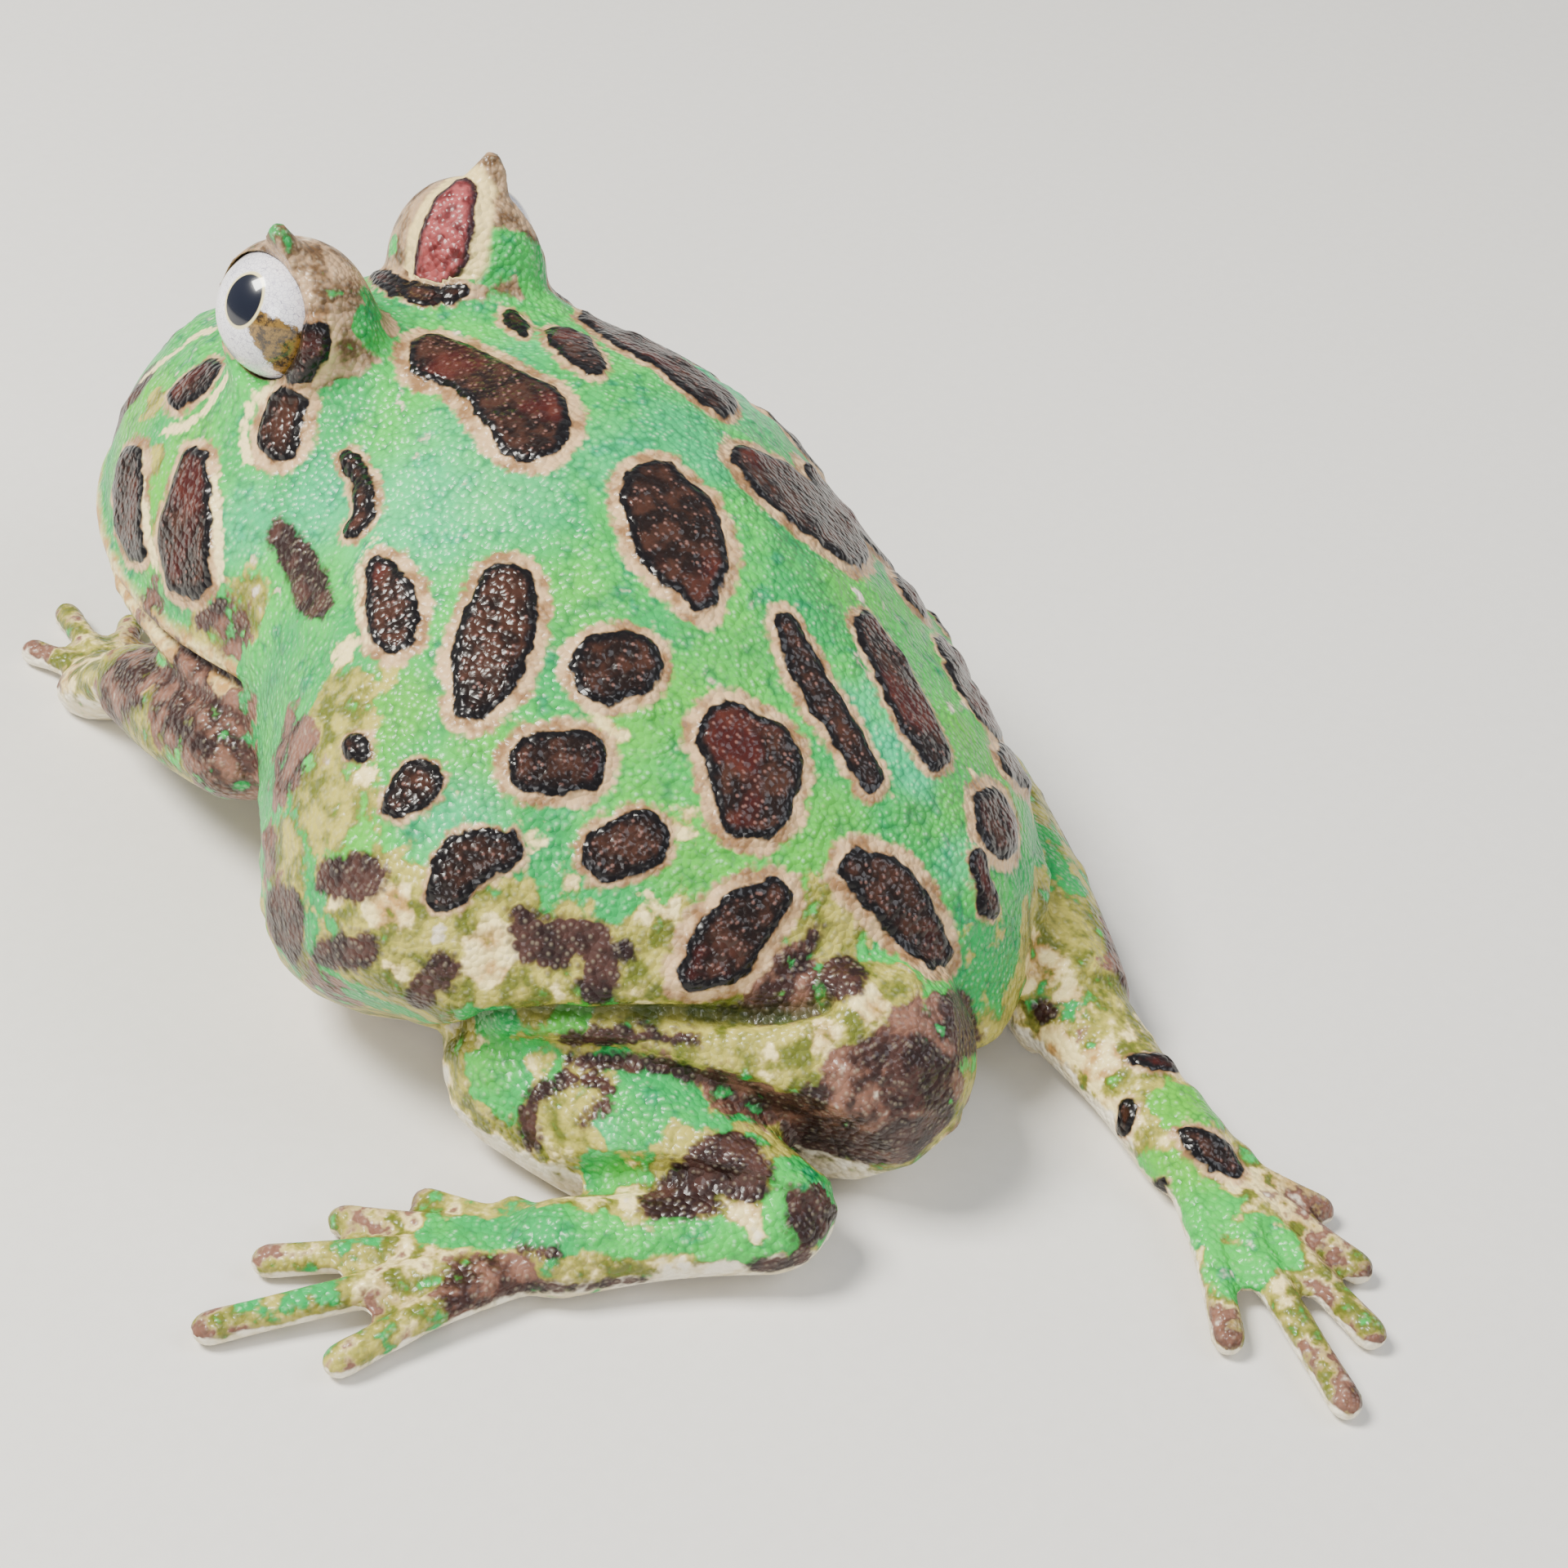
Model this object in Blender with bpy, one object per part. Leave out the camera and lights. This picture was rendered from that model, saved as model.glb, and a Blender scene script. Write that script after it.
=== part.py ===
# Argentine horned frog, life size, as a still museum model: the construction.
# Run with blender --background --python part.py, or from the text editor.
# The frog faces -Y, its left side is +X, and it sits on the floor at z = 0.

import math

import bmesh
import bpy
from mathutils import Matrix, Vector

for old in list(bpy.data.objects):
    bpy.data.objects.remove(old, do_unlink=True)

MM = 0.001
GAP = 0.3 * MM
UNDER_FLOOR = -4.0 * MM
FLOOR_POINT = Vector((0.0, 0.0, 0.0))
DOWN = Vector((0.0, 0.0, -1.0))
UP = Vector((0.0, 0.0, 1.0))
MERGE_DISTANCE = 0.003 * MM
FLAT_ANGLE = math.radians(0.1)


def mm(*values):
    """A place or direction given in millimetres."""
    return Vector(values) * MM


# Body, from the snout to the rump
SNOUT_Y = -45.0 * MM
SNOUT_ROUND_LENGTH = 31.0 * MM
SNOUT_ROUND_POWER = 0.5
SNOUT_TOP_POWER = 0.42
RUMP_Y = 36.5 * MM
RUMP_ROUND_LENGTH = 26.0 * MM
RUMP_ROUND_POWER = 0.7
NECK_POINT = mm(0.0, -9.0, 18.0)
NECK_NORMAL = Vector((0.0, 1.0, 0.12)).normalized()
BODY_RINGS = 42
BODY_SIDES = 48

# Body sections, each with sizes in mm and the fullness of its curves.
# The left flank bulges over its folded leg, the right one is drawn flat by the
# leg that trails behind. A fullness of 2 is an ellipse and less is more pointed.
SECTION_NAMES = ("y", "left", "right", "top", "bottom", "middle", "full_left", "full_right", "full_low")
BODY_SECTIONS = (
    (-45.0, 21.0, 21.0, 33.2, 4.5, 15.5, 2.0, 2.0, 2.2),
    (-30.0, 21.0, 21.0, 33.5, 6.5, 15.0, 2.0, 2.0, 2.2),
    (-20.0, 21.2, 21.2, 34.3, 4.3, 15.3, 2.0, 2.0, 2.2),
    (-12.0, 22.0, 22.0, 35.1, 1.4, 14.8, 2.0, 2.05, 2.2),
    (-6.0, 25.5, 23.4, 35.4, -1.2, 12.8, 2.0, 2.0, 2.3),
    (0.0, 30.4, 24.2, 34.9, -2.6, 11.2, 1.95, 1.86, 2.5),
    (6.0, 32.6, 23.7, 33.6, -3.0, 12.0, 1.95, 1.52, 2.1),
    (12.0, 32.8, 22.4, 31.3, -3.0, 13.5, 1.95, 1.34, 1.6),
    (20.0, 31.0, 20.6, 27.8, -2.8, 12.5, 1.95, 1.34, 1.4),
    (28.0, 30.0, 20.8, 26.0, -2.0, 11.0, 2.0, 1.45, 1.5),
    (36.5, 29.0, 21.5, 27.0, -1.2, 6.0, 2.0, 1.55, 2.0),
)

# Mouth and lips
MOUTH_LOW_Y = -32.0 * MM
MOUTH_LOW_Z = 13.8 * MM
MOUTH_CURVE = 0.006 / MM
MOUTH_CORNER_Y = -13.0 * MM
LIP_RADIUS = 1.15 * MM
LIP_SINK = 0.55 * MM
LIP_LIFT_SHARE = 0.85
LIP_END_SHARE = 0.7
LIP_STEPS = 30

# Nostrils
NOSTRIL_X = 3.1 * MM
NOSTRIL_Y = -42.6 * MM
NOSTRIL_RADIUS = 0.55 * MM
NOSTRIL_FLARE = 0.3
NOSTRIL_DEPTH = 1.2 * MM
NOSTRIL_OUTWARD = Vector((0.35, -0.75, 0.6)).normalized()

# Eyes, lids and the small horn on each upper lid. The head leans a little to
# the left, so the pair is mirrored about a plane beside the body's own.
EYE_PLANE_X = 1.4 * MM
EYE_CENTRE = mm(9.7, -23.1, 35.6)
EYE_RADIUS = 4.4 * MM
GAZE = Vector((0.84, -0.09, 0.54)).normalized()
LID_CENTRE = mm(9.2, -22.6, 35.0)
LID_RADII = mm(5.2, 5.9, 5.9)
LID_OPENING_AXIS = Vector((0.92, 0.0, 0.17)).normalized()
LID_OPENING_ANGLE = math.radians(64.0)
LID_OPENING_REACH = 12.0 * MM
LID_OPENING_POINT = 0.1 * MM
HORN_BASE = mm(10.1, -22.4, 38.2)
HORN_TIP = mm(11.0, -22.5, 42.6)
HORN_BASE_RADIUS = 3.0 * MM
HORN_TIP_RADIUS = 0.5 * MM

# Forelimb joints of the left side, mirrored on the right
SHOULDER = mm(14.5, -8.5, 13.0)
ELBOW = mm(21.2, -13.4, 10.4)
WRIST = mm(18.0, -29.2, 6.0)
PALM_REACH = 5.5 * MM
UPPER_ARM_RADII = (4.6 * MM, 4.2 * MM, 3.6 * MM)
FOREARM_RADII = (3.6 * MM, 3.7 * MM, 2.8 * MM)
PALM_WIDTH = 8.6 * MM
PALM_HEIGHT = 1.8 * MM
PALM_FLATNESS = 0.62

# Fingers: spread in degrees from the hand's axis, inward positive, and length in mm
FINGERS = ((48.0, 8.5), (20.0, 9.0), (-6.0, 11.0), (-34.0, 8.0))
FINGER_RADII = (1.5 * MM, 1.25 * MM, 1.0 * MM, 1.1 * MM)
HAND_TURN_IN = math.radians(14.0)

# Hind limb joints: the left leg is folded, the right foot trails behind
LEFT_LEG = (mm(9.8, 32.5, 7.6), mm(24.5, 18.5, 5.2), mm(21.0, 36.3, 3.5), mm(39.5, 23.5, 1.6))
RIGHT_LEG = (mm(-7.8, 27.2, 6.7), mm(-20.0, 17.0, 4.8), mm(-8.8, 36.8, 3.4), mm(-1.5, 60.0, 1.6))
LEFT_THIGH_RADII = (7.9 * MM, 6.9 * MM, 5.3 * MM)
RIGHT_THIGH_RADII = (6.6 * MM, 6.4 * MM, 5.2 * MM)
SHANK_RADII = (5.2 * MM, 5.2 * MM, 4.2 * MM)
TARSUS_RADII = (3.8 * MM, 3.1 * MM, 3.3 * MM)
TARSUS_LENGTH = 13.0 * MM
TARSUS_FLATNESS = 0.85
TOE_ROOT_HEIGHT = 2.3 * MM

# Toes: spread in degrees from the foot's axis, inward positive, and length in mm
TOES = ((40.0, 9.0), (22.0, 13.0), (7.0, 17.0), (-8.0, 21.0), (-25.0, 15.0))
TOE_RADII = (1.8 * MM, 1.45 * MM, 1.1 * MM, 1.15 * MM)
WEB_SHARE = 0.5
WEB_NOTCH_SHARE = 0.34
WEB_THICKNESS = 1.5 * MM
WEB_HEEL_REACH = 2.0 * MM
TUBERCLE_RADII = mm(1.1, 2.2, 1.2)
TUBERCLE_OFFSET = 3.0 * MM
TUBERCLE_TURN = math.radians(60.0)

# Fingers and toes lie on the floor and arch a little in the middle
DIGIT_AXIS_SHARE = 0.9
DIGIT_ARCH = 0.5 * MM

LIMB_SIDES = 16
DIGIT_SIDES = 8
DOME_TILTS = (25.0, 50.0, 75.0)

parts = bpy.data.collections.new("horned_frog")
cutters = bpy.data.collections.new("cutters")
for collection in (parts, cutters):
    bpy.context.scene.collection.children.link(collection)


def add_object(name, bm):
    """Make a helper object from bm, kept out of renders until it is finished."""
    bmesh.ops.recalc_face_normals(bm, faces=bm.faces)
    mesh = bpy.data.meshes.new(name)
    bm.to_mesh(mesh)
    bm.free()
    obj = bpy.data.objects.new(name, mesh)
    cutters.objects.link(obj)
    obj.hide_render = True
    obj.display_type = "WIRE"
    return obj


def drop(*objects):
    """Remove helper objects that have done their work."""
    for obj in objects:
        bpy.data.objects.remove(obj, do_unlink=True)


def loft(name, rings, start, end):
    """Close a row of point rings into one skin that ends in two points."""
    bm = bmesh.new()
    loops = [[bm.verts.new(point) for point in ring] for ring in rings]
    first = bm.verts.new(start)
    last = bm.verts.new(end)
    count = len(loops[0])
    for k in range(count):
        after = (k + 1) % count
        bm.faces.new((first, loops[0][after], loops[0][k]))
        bm.faces.new((last, loops[-1][k], loops[-1][after]))
        for lower, upper in zip(loops, loops[1:]):
            bm.faces.new((lower[k], lower[after], upper[after], upper[k]))
    return add_object(name, bm)


def on_floor(point, floor=0.0):
    """Flatten what would sink below the floor."""
    return Vector((point.x, point.y, max(point.z, floor)))


def blend(values, share):
    """Smooth value at a share from 0 to 1 along a short row of values."""
    place = share * (len(values) - 1)
    index = min(int(place), len(values) - 2)
    before = values[max(index - 1, 0)]
    left = values[index]
    right = values[index + 1]
    after = values[min(index + 2, len(values) - 1)]
    t = place - index
    rise_left = (right - before) * 0.5
    rise_right = (after - left) * 0.5
    step = right - left
    return left + rise_left * t + (step * 3 - rise_left * 2 - rise_right) * t**2 + (
        rise_left + rise_right - step * 2) * t**3


def tube(name, path, radii, sides=LIMB_SIDES, steps=8, height=1.0, grow=0.0, floor=0.0):
    """Round limb along a path, with domed ends and a flat where it lies on the floor."""
    centres = [blend(path, k / steps) for k in range(steps + 1)]
    sizes = [blend(radii, k / steps) + grow for k in range(steps + 1)]
    directions = []
    for k in range(steps + 1):
        ahead = centres[min(k + 1, steps)] - centres[max(k - 1, 0)]
        directions.append(ahead.normalized())
    spots = []
    for tilt in reversed(DOME_TILTS):
        back = math.radians(tilt)
        start = centres[0] - directions[0] * sizes[0] * math.sin(back)
        spots.append((start, directions[0], sizes[0] * math.cos(back)))
    spots += list(zip(centres, directions, sizes))
    for tilt in DOME_TILTS:
        out = math.radians(tilt)
        end = centres[-1] + directions[-1] * sizes[-1] * math.sin(out)
        spots.append((end, directions[-1], sizes[-1] * math.cos(out)))
    rings = []
    for centre, direction, size in spots:
        side = direction.cross(UP).normalized()
        up = side.cross(direction)
        ring = []
        for k in range(sides):
            turn = math.tau * (k + 0.5) / sides
            point = centre + side * size * math.cos(turn) + up * size * height * math.sin(turn)
            ring.append(on_floor(point, floor))
        rings.append(ring)
    start = on_floor(centres[0] - directions[0] * sizes[0], floor)
    end = on_floor(centres[-1] + directions[-1] * sizes[-1], floor)
    return loft(name, rings, start, end)


def ball(name, centre, radii, axis=UP, segments=24, rings=14):
    """Ellipsoid with its poles along an axis."""
    bm = bmesh.new()
    bmesh.ops.create_uvsphere(bm, u_segments=segments, v_segments=rings, radius=1.0)
    turn = UP.rotation_difference(axis).to_matrix().to_4x4()
    size = Matrix.Diagonal((*radii, 1.0))
    bm.transform(Matrix.Translation(centre) @ turn @ size)
    return add_object(name, bm)


def cone(name, base, tip, base_radius, tip_radius, segments=16):
    """Cone or cylinder from a base point to a tip point."""
    bm = bmesh.new()
    axis = tip - base
    bmesh.ops.create_cone(bm, cap_ends=True, segments=segments, radius1=base_radius,
                          radius2=tip_radius, depth=axis.length)
    turn = UP.rotation_difference(axis).to_matrix().to_4x4()
    bm.transform(Matrix.Translation((base + tip) * 0.5) @ turn)
    return add_object(name, bm)


def combine(target, operation, tools):
    """Apply one Boolean with each tool in turn and remove the tools."""
    for tool in tools:
        modifier = target.modifiers.new("combine", "BOOLEAN")
        modifier.operation = operation
        modifier.solver = "EXACT"
        modifier.object = tool
        bpy.context.view_layer.objects.active = target
        bpy.ops.object.modifier_apply(modifier=modifier.name)
        drop(tool)
    return target


def unite(pieces):
    """Join closed pieces that overlap into one closed body."""
    target = pieces[0]
    group = bpy.data.collections.new("pieces")
    for piece in pieces[1:]:
        group.objects.link(piece)
    modifier = target.modifiers.new("unite", "BOOLEAN")
    modifier.operation = "UNION"
    modifier.solver = "EXACT"
    modifier.operand_type = "COLLECTION"
    modifier.collection = group
    bpy.context.view_layer.objects.active = target
    bpy.ops.object.modifier_apply(modifier=modifier.name)
    drop(*pieces[1:])
    bpy.data.collections.remove(group)
    return target


def slice_off(obj, point, normal):
    """Cut away what lies on the side that the normal points to, and close the cut."""
    bm = bmesh.new()
    bm.from_mesh(obj.data)
    geometry = bm.verts[:] + bm.edges[:] + bm.faces[:]
    bmesh.ops.bisect_plane(bm, geom=geometry, plane_co=point, plane_no=normal,
                           dist=MERGE_DISTANCE / 3.0, clear_outer=True)
    rim = [edge for edge in bm.edges if edge.is_boundary]
    bmesh.ops.edgeloop_fill(bm, edges=rim)
    bmesh.ops.recalc_face_normals(bm, faces=bm.faces)
    bm.to_mesh(obj.data)
    bm.free()
    return obj


def shells(bm):
    """Groups of faces that hang together."""
    unseen = set(bm.faces)
    found = []
    while unseen:
        queue = [unseen.pop()]
        shell = []
        while queue:
            face = queue.pop()
            shell.append(face)
            for edge in face.edges:
                for other in edge.link_faces:
                    if other in unseen:
                        unseen.remove(other)
                        queue.append(other)
        found.append(shell)
    return found


def shell_volume(shell):
    """Volume inside a closed group of faces."""
    total = 0.0
    for face in shell:
        corners = [vert.co for vert in face.verts]
        for second, third in zip(corners[1:], corners[2:]):
            total += corners[0].dot(second.cross(third)) / 6.0
    return total


def finish(obj, name, hex_colour, roughness):
    """Keep the largest closed surface, colour it and move it to the frog's collection."""
    bm = bmesh.new()
    bm.from_mesh(obj.data)
    bmesh.ops.remove_doubles(bm, verts=bm.verts, dist=MERGE_DISTANCE)
    bmesh.ops.dissolve_degenerate(bm, edges=bm.edges, dist=MERGE_DISTANCE)
    found = sorted(shells(bm), key=shell_volume)
    for shell in found[:-1]:
        bmesh.ops.delete(bm, geom=shell, context="FACES")
    on_the_floor = [face for face in bm.faces if max(vert.co.z for vert in face.verts) < MERGE_DISTANCE]
    flat_edges = {edge for face in on_the_floor for edge in face.edges}
    flat_verts = {vert for face in on_the_floor for vert in face.verts}
    bmesh.ops.dissolve_limit(bm, angle_limit=FLAT_ANGLE, verts=list(flat_verts), edges=list(flat_edges))
    bmesh.ops.triangulate(bm, faces=bm.faces)
    bm.to_mesh(obj.data)
    bm.free()
    for polygon in obj.data.polygons:
        polygon.use_smooth = True
    material = bpy.data.materials.new(name)
    material.use_nodes = True
    shader = material.node_tree.nodes["Principled BSDF"]
    channels = [int(hex_colour[k:k + 2], 16) / 255.0 for k in (0, 2, 4)]
    linear = [((c + 0.055) / 1.055)**2.4 if c > 0.04 else c / 12.92 for c in channels]
    shader.inputs["Base Color"].default_value = (*linear, 1.0)
    shader.inputs["Roughness"].default_value = roughness
    shader.inputs["Metallic"].default_value = 0.0
    obj.data.materials.clear()
    obj.data.materials.append(material)
    obj.name = name
    obj.data.name = name
    obj.hide_render = False
    obj.display_type = "TEXTURED"
    cutters.objects.unlink(obj)
    parts.objects.link(obj)
    return obj


def body_section(y, grow=0.0):
    """Sizes of the body at one place along it, by name, in metres."""
    station = y / MM
    index = 0
    while index < len(BODY_SECTIONS) - 2 and station > BODY_SECTIONS[index + 1][0]:
        index += 1
    before = BODY_SECTIONS[max(index - 1, 0)]
    left = BODY_SECTIONS[index]
    right = BODY_SECTIONS[index + 1]
    after = BODY_SECTIONS[min(index + 2, len(BODY_SECTIONS) - 1)]
    span = right[0] - left[0]
    t = min(max((station - left[0]) / span, 0.0), 1.0)
    section = {}
    for k, name in enumerate(SECTION_NAMES[1:], start=1):
        rise_left = (right[k] - before[k]) / max(right[0] - before[0], span) * span
        rise_right = (after[k] - left[k]) / max(after[0] - left[0], span) * span
        step = right[k] - left[k]
        bend = step * 3 - rise_left * 2 - rise_right
        twist = rise_left + rise_right - step * 2
        value = left[k] + rise_left * t + bend * t**2 + twist * t**3
        section[name] = value if name.startswith("full") else value * MM
    front = min(max((y - SNOUT_Y + grow) / (SNOUT_ROUND_LENGTH + grow), 0.0), 1.0)
    rear = min(max((RUMP_Y + grow - y) / (RUMP_ROUND_LENGTH + grow), 0.0), 1.0)
    fill = (1.0 - (1.0 - front)**2)**SNOUT_ROUND_POWER * (1.0 - (1.0 - rear)**2)**RUMP_ROUND_POWER
    middle = section["middle"]
    section["left"] = (section["left"] + grow) * fill
    section["right"] = (section["right"] + grow) * fill
    brow = fill * (1.0 - (1.0 - front)**2)**(SNOUT_TOP_POWER - SNOUT_ROUND_POWER) if front else 0.0
    section["top"] = middle + (section["top"] + grow - middle) * brow
    section["bottom"] = middle - (middle - section["bottom"] + grow) * fill
    return section


def body_half_width(y, z, side=1):
    """How far the body reaches to the left (side 1) or right (side -1) at one height."""
    section = body_section(y)
    label = "left" if side > 0 else "right"
    middle = section["middle"]
    if z > middle:
        share = (z - middle) / max(section["top"] - middle, 0.01 * MM)
        fullness = section["full_" + label]
    else:
        share = (middle - z) / max(middle - section["bottom"], 0.01 * MM)
        fullness = section["full_low"]
    return section[label] * max(1.0 - share**fullness, 0.0)**(1.0 / fullness)


def body(name, grow=0.0, floor=0.0):
    """Head and trunk as one form: low wide flanks, domed back and a flat belly."""
    start_y = SNOUT_Y - grow
    end_y = RUMP_Y + grow
    rings = []
    for k in range(1, BODY_RINGS):
        y = start_y + (end_y - start_y) * (1.0 - math.cos(math.pi * k / BODY_RINGS)) / 2.0
        section = body_section(y, grow)
        middle = section["middle"]
        ring = []
        for j in range(BODY_SIDES):
            turn = math.tau * j / BODY_SIDES
            across = math.cos(turn)
            rise = math.sin(turn)
            label = "left" if across > 0.0 else "right"
            if rise >= 0.0:
                fullness = section["full_" + label]
                reach = section["top"] - middle
            else:
                fullness = section["full_low"]
                reach = middle - section["bottom"]
            x = math.copysign(abs(across)**(2.0 / fullness), across) * section[label]
            z = middle + math.copysign(abs(rise)**(2.0 / fullness), rise) * reach
            ring.append(on_floor(Vector((x, y, z)), floor))
        rings.append(ring)
    start = Vector((0.0, start_y, body_section(start_y)["middle"]))
    end = Vector((0.0, end_y, body_section(end_y)["middle"]))
    return loft(name, rings, start, end)


def body_cutter():
    """The body grown by the gap, to trim what grows from it."""
    return body("body_cutter", GAP, UNDER_FLOOR)


def mouth_height(y):
    """Height of the line of the mouth at one place along the head."""
    return MOUTH_LOW_Z + MOUTH_CURVE * (y - MOUTH_LOW_Y)**2


def body_front(z):
    """Foremost place of the body at one height."""
    near = SNOUT_Y
    far = MOUTH_LOW_Y
    for _ in range(20):
        half = (near + far) / 2.0
        if body_half_width(half, z) > 0.0:
            far = half
        else:
            near = half
    return far


def lip(name, side):
    """Rounded lip above (side 1) or below (side -1) the line of the mouth."""
    lift = side * (LIP_RADIUS * LIP_LIFT_SHARE + GAP / 2.0)
    front = body_front(mouth_height(SNOUT_Y) + lift)
    path = []
    for k in range(LIP_STEPS + 1):
        turn = (k / LIP_STEPS - 0.5) * math.pi
        y = MOUTH_CORNER_Y - (MOUTH_CORNER_Y - front) * math.cos(turn)
        z = mouth_height(y) + lift
        x = math.copysign(body_half_width(y, z, turn), turn) if turn else 0.0
        inward = Vector((-math.sin(turn), math.cos(turn), 0.0)) * LIP_SINK
        path.append(Vector((x, y, z)) + inward)
    thin = LIP_RADIUS * LIP_END_SHARE
    radii = (thin, LIP_RADIUS, LIP_RADIUS, LIP_RADIUS, thin)
    return tube(name, path, radii, sides=DIGIT_SIDES, steps=LIP_STEPS)


def mouth_block(name, side):
    """Block that holds all above (side 1) or below (side -1) the line of the mouth."""
    reach = 60.0 * MM
    rear_y = 10.0 * MM
    steps = 14
    bm = bmesh.new()
    edge = []
    for k in range(steps + 1):
        y = -reach + (reach + rear_y) * k / steps
        edge.append((y, mouth_height(max(y, SNOUT_Y)) + side * GAP / 2.0))
    outline = edge + [(rear_y, side * reach), (-reach, side * reach)]
    verts = [bm.verts.new((-reach, y, z)) for y, z in outline]
    face = bm.faces.new(verts)
    grown = bmesh.ops.extrude_face_region(bm, geom=[face])
    moved = [item for item in grown["geom"] if isinstance(item, bmesh.types.BMVert)]
    bmesh.ops.translate(bm, verts=moved, vec=(2.0 * reach, 0.0, 0.0))
    return add_object(name, bm)


def mirrored(point, side, plane=0.0):
    """The same place on the left (side 1) or the right (side -1)."""
    return Vector((plane + (point.x - plane) * side, point.y, point.z))


def nostril(side):
    """Short pit that opens on the top of the snout."""
    section = body_section(NOSTRIL_Y)
    middle = section["middle"]
    fullness = section["full_left"]
    share = 1.0 - (NOSTRIL_X / section["left"])**fullness
    height = middle + (section["top"] - middle) * share**(1.0 / fullness)
    mouth = Vector((NOSTRIL_X * side, NOSTRIL_Y, height))
    outward = mirrored(NOSTRIL_OUTWARD, side)
    inner = NOSTRIL_RADIUS * (1.0 - NOSTRIL_FLARE)
    outer = NOSTRIL_RADIUS * (1.0 + NOSTRIL_FLARE)
    return cone("nostril", mouth - outward * NOSTRIL_DEPTH, mouth + outward * NOSTRIL_DEPTH,
                inner, outer, segments=12)


def eye_ball(name, side, grow=0.0):
    """One eyeball, turned so that its pole looks out along the gaze."""
    radius = EYE_RADIUS + grow
    centre = mirrored(EYE_CENTRE, side, EYE_PLANE_X)
    return ball(name, centre, (radius, radius, radius), mirrored(GAZE, side), segments=20, rings=12)


def make_head():
    """Upper head with its lip, nostrils and the beds of the eyes."""
    head = unite([body("head"), lip("upper_lip", 1)])
    slice_off(head, NECK_POINT - NECK_NORMAL * GAP / 2.0, NECK_NORMAL)
    combine(head, "INTERSECT", [mouth_block("above_mouth", 1)])
    combine(head, "DIFFERENCE", [nostril(1), nostril(-1)])
    combine(head, "DIFFERENCE", [eye_ball("bed", 1, GAP), eye_ball("bed", -1, GAP)])
    finish(head, "head", "5FB880", 0.42)


def make_lower_jaw():
    """Lower jaw and throat, a shallow pan as wide as the head."""
    jaw = unite([body("lower_jaw"), lip("lower_lip", -1)])
    slice_off(jaw, NECK_POINT - NECK_NORMAL * GAP / 2.0, NECK_NORMAL)
    combine(jaw, "INTERSECT", [mouth_block("below_mouth", -1)])
    finish(jaw, "lower_jaw", "B9B487", 0.45)


def make_torso():
    """Barrel body with low bulging flanks and the belly's flat."""
    torso = body("torso")
    slice_off(torso, NECK_POINT + NECK_NORMAL * GAP / 2.0, -NECK_NORMAL)
    for joints, thigh_radii in ((LEFT_LEG, LEFT_THIGH_RADII), (RIGHT_LEG, RIGHT_THIGH_RADII)):
        hip, knee, heel, foot_end = joints
        thigh_bed = tube("thigh_bed", (hip, knee), thigh_radii, grow=GAP, floor=UNDER_FLOOR)
        shank_bed = tube("shank_bed", (knee, heel), SHANK_RADII, grow=GAP, floor=UNDER_FLOOR)
        combine(torso, "DIFFERENCE", [thigh_bed, shank_bed])
    finish(torso, "torso", "63C487", 0.42)


def make_eye(side, label):
    """Eyeball in its bed, with most of its front bare."""
    finish(eye_ball("eye", side), "eye_" + label, "D9D4DC", 0.08)


def make_eyelid(side, label):
    """Bulging lids round the eye, drawn up into a short horn."""
    lid = ball("lid", mirrored(LID_CENTRE, side, EYE_PLANE_X), LID_RADII)
    horn = cone("horn", mirrored(HORN_BASE, side, EYE_PLANE_X), mirrored(HORN_TIP, side, EYE_PLANE_X),
                HORN_BASE_RADIUS, HORN_TIP_RADIUS)
    unite([lid, horn])
    centre = mirrored(EYE_CENTRE, side, EYE_PLANE_X)
    reach = mirrored(LID_OPENING_AXIS, side) * LID_OPENING_REACH
    opening = cone("opening", centre, centre + reach, LID_OPENING_POINT,
                   LID_OPENING_REACH * math.tan(LID_OPENING_ANGLE), segments=32)
    combine(lid, "DIFFERENCE", [body_cutter(), eye_ball("ball", side, GAP), opening])
    finish(lid, "eyelid_" + label, "C79A4E", 0.45)


def joint_plane(before, joint, after):
    """Normal of the thin cut at a joint, pointing to the side of the next segment."""
    return ((after - joint).normalized() - (before - joint).normalized()).normalized()


def part_at(obj, joint, normal, keep_next):
    """Trim a limb segment at a joint, on one side of the thin cut."""
    way = -normal if keep_next else normal
    slice_off(obj, joint - way * GAP / 2.0, way)


def digits(wrist_point, axis, side, row, radii):
    """Fingers or toes: tapered tubes that fan out over the floor."""
    made = []
    for spread, length in row:
        turn = Matrix.Rotation(-side * math.radians(spread), 3, "Z")
        way = turn @ axis
        tip = wrist_point + way * length * MM
        middle = wrist_point + way * length * 0.5 * MM
        path = (wrist_point.copy(), middle, tip)
        for point, radius in zip(path, (radii[0], radii[1], radii[3])):
            point.z = radius * DIGIT_AXIS_SHARE
        path[1].z += DIGIT_ARCH
        made.append(tube("digit", path, radii, sides=DIGIT_SIDES, steps=5, floor=UNDER_FLOOR))
    return made


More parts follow.
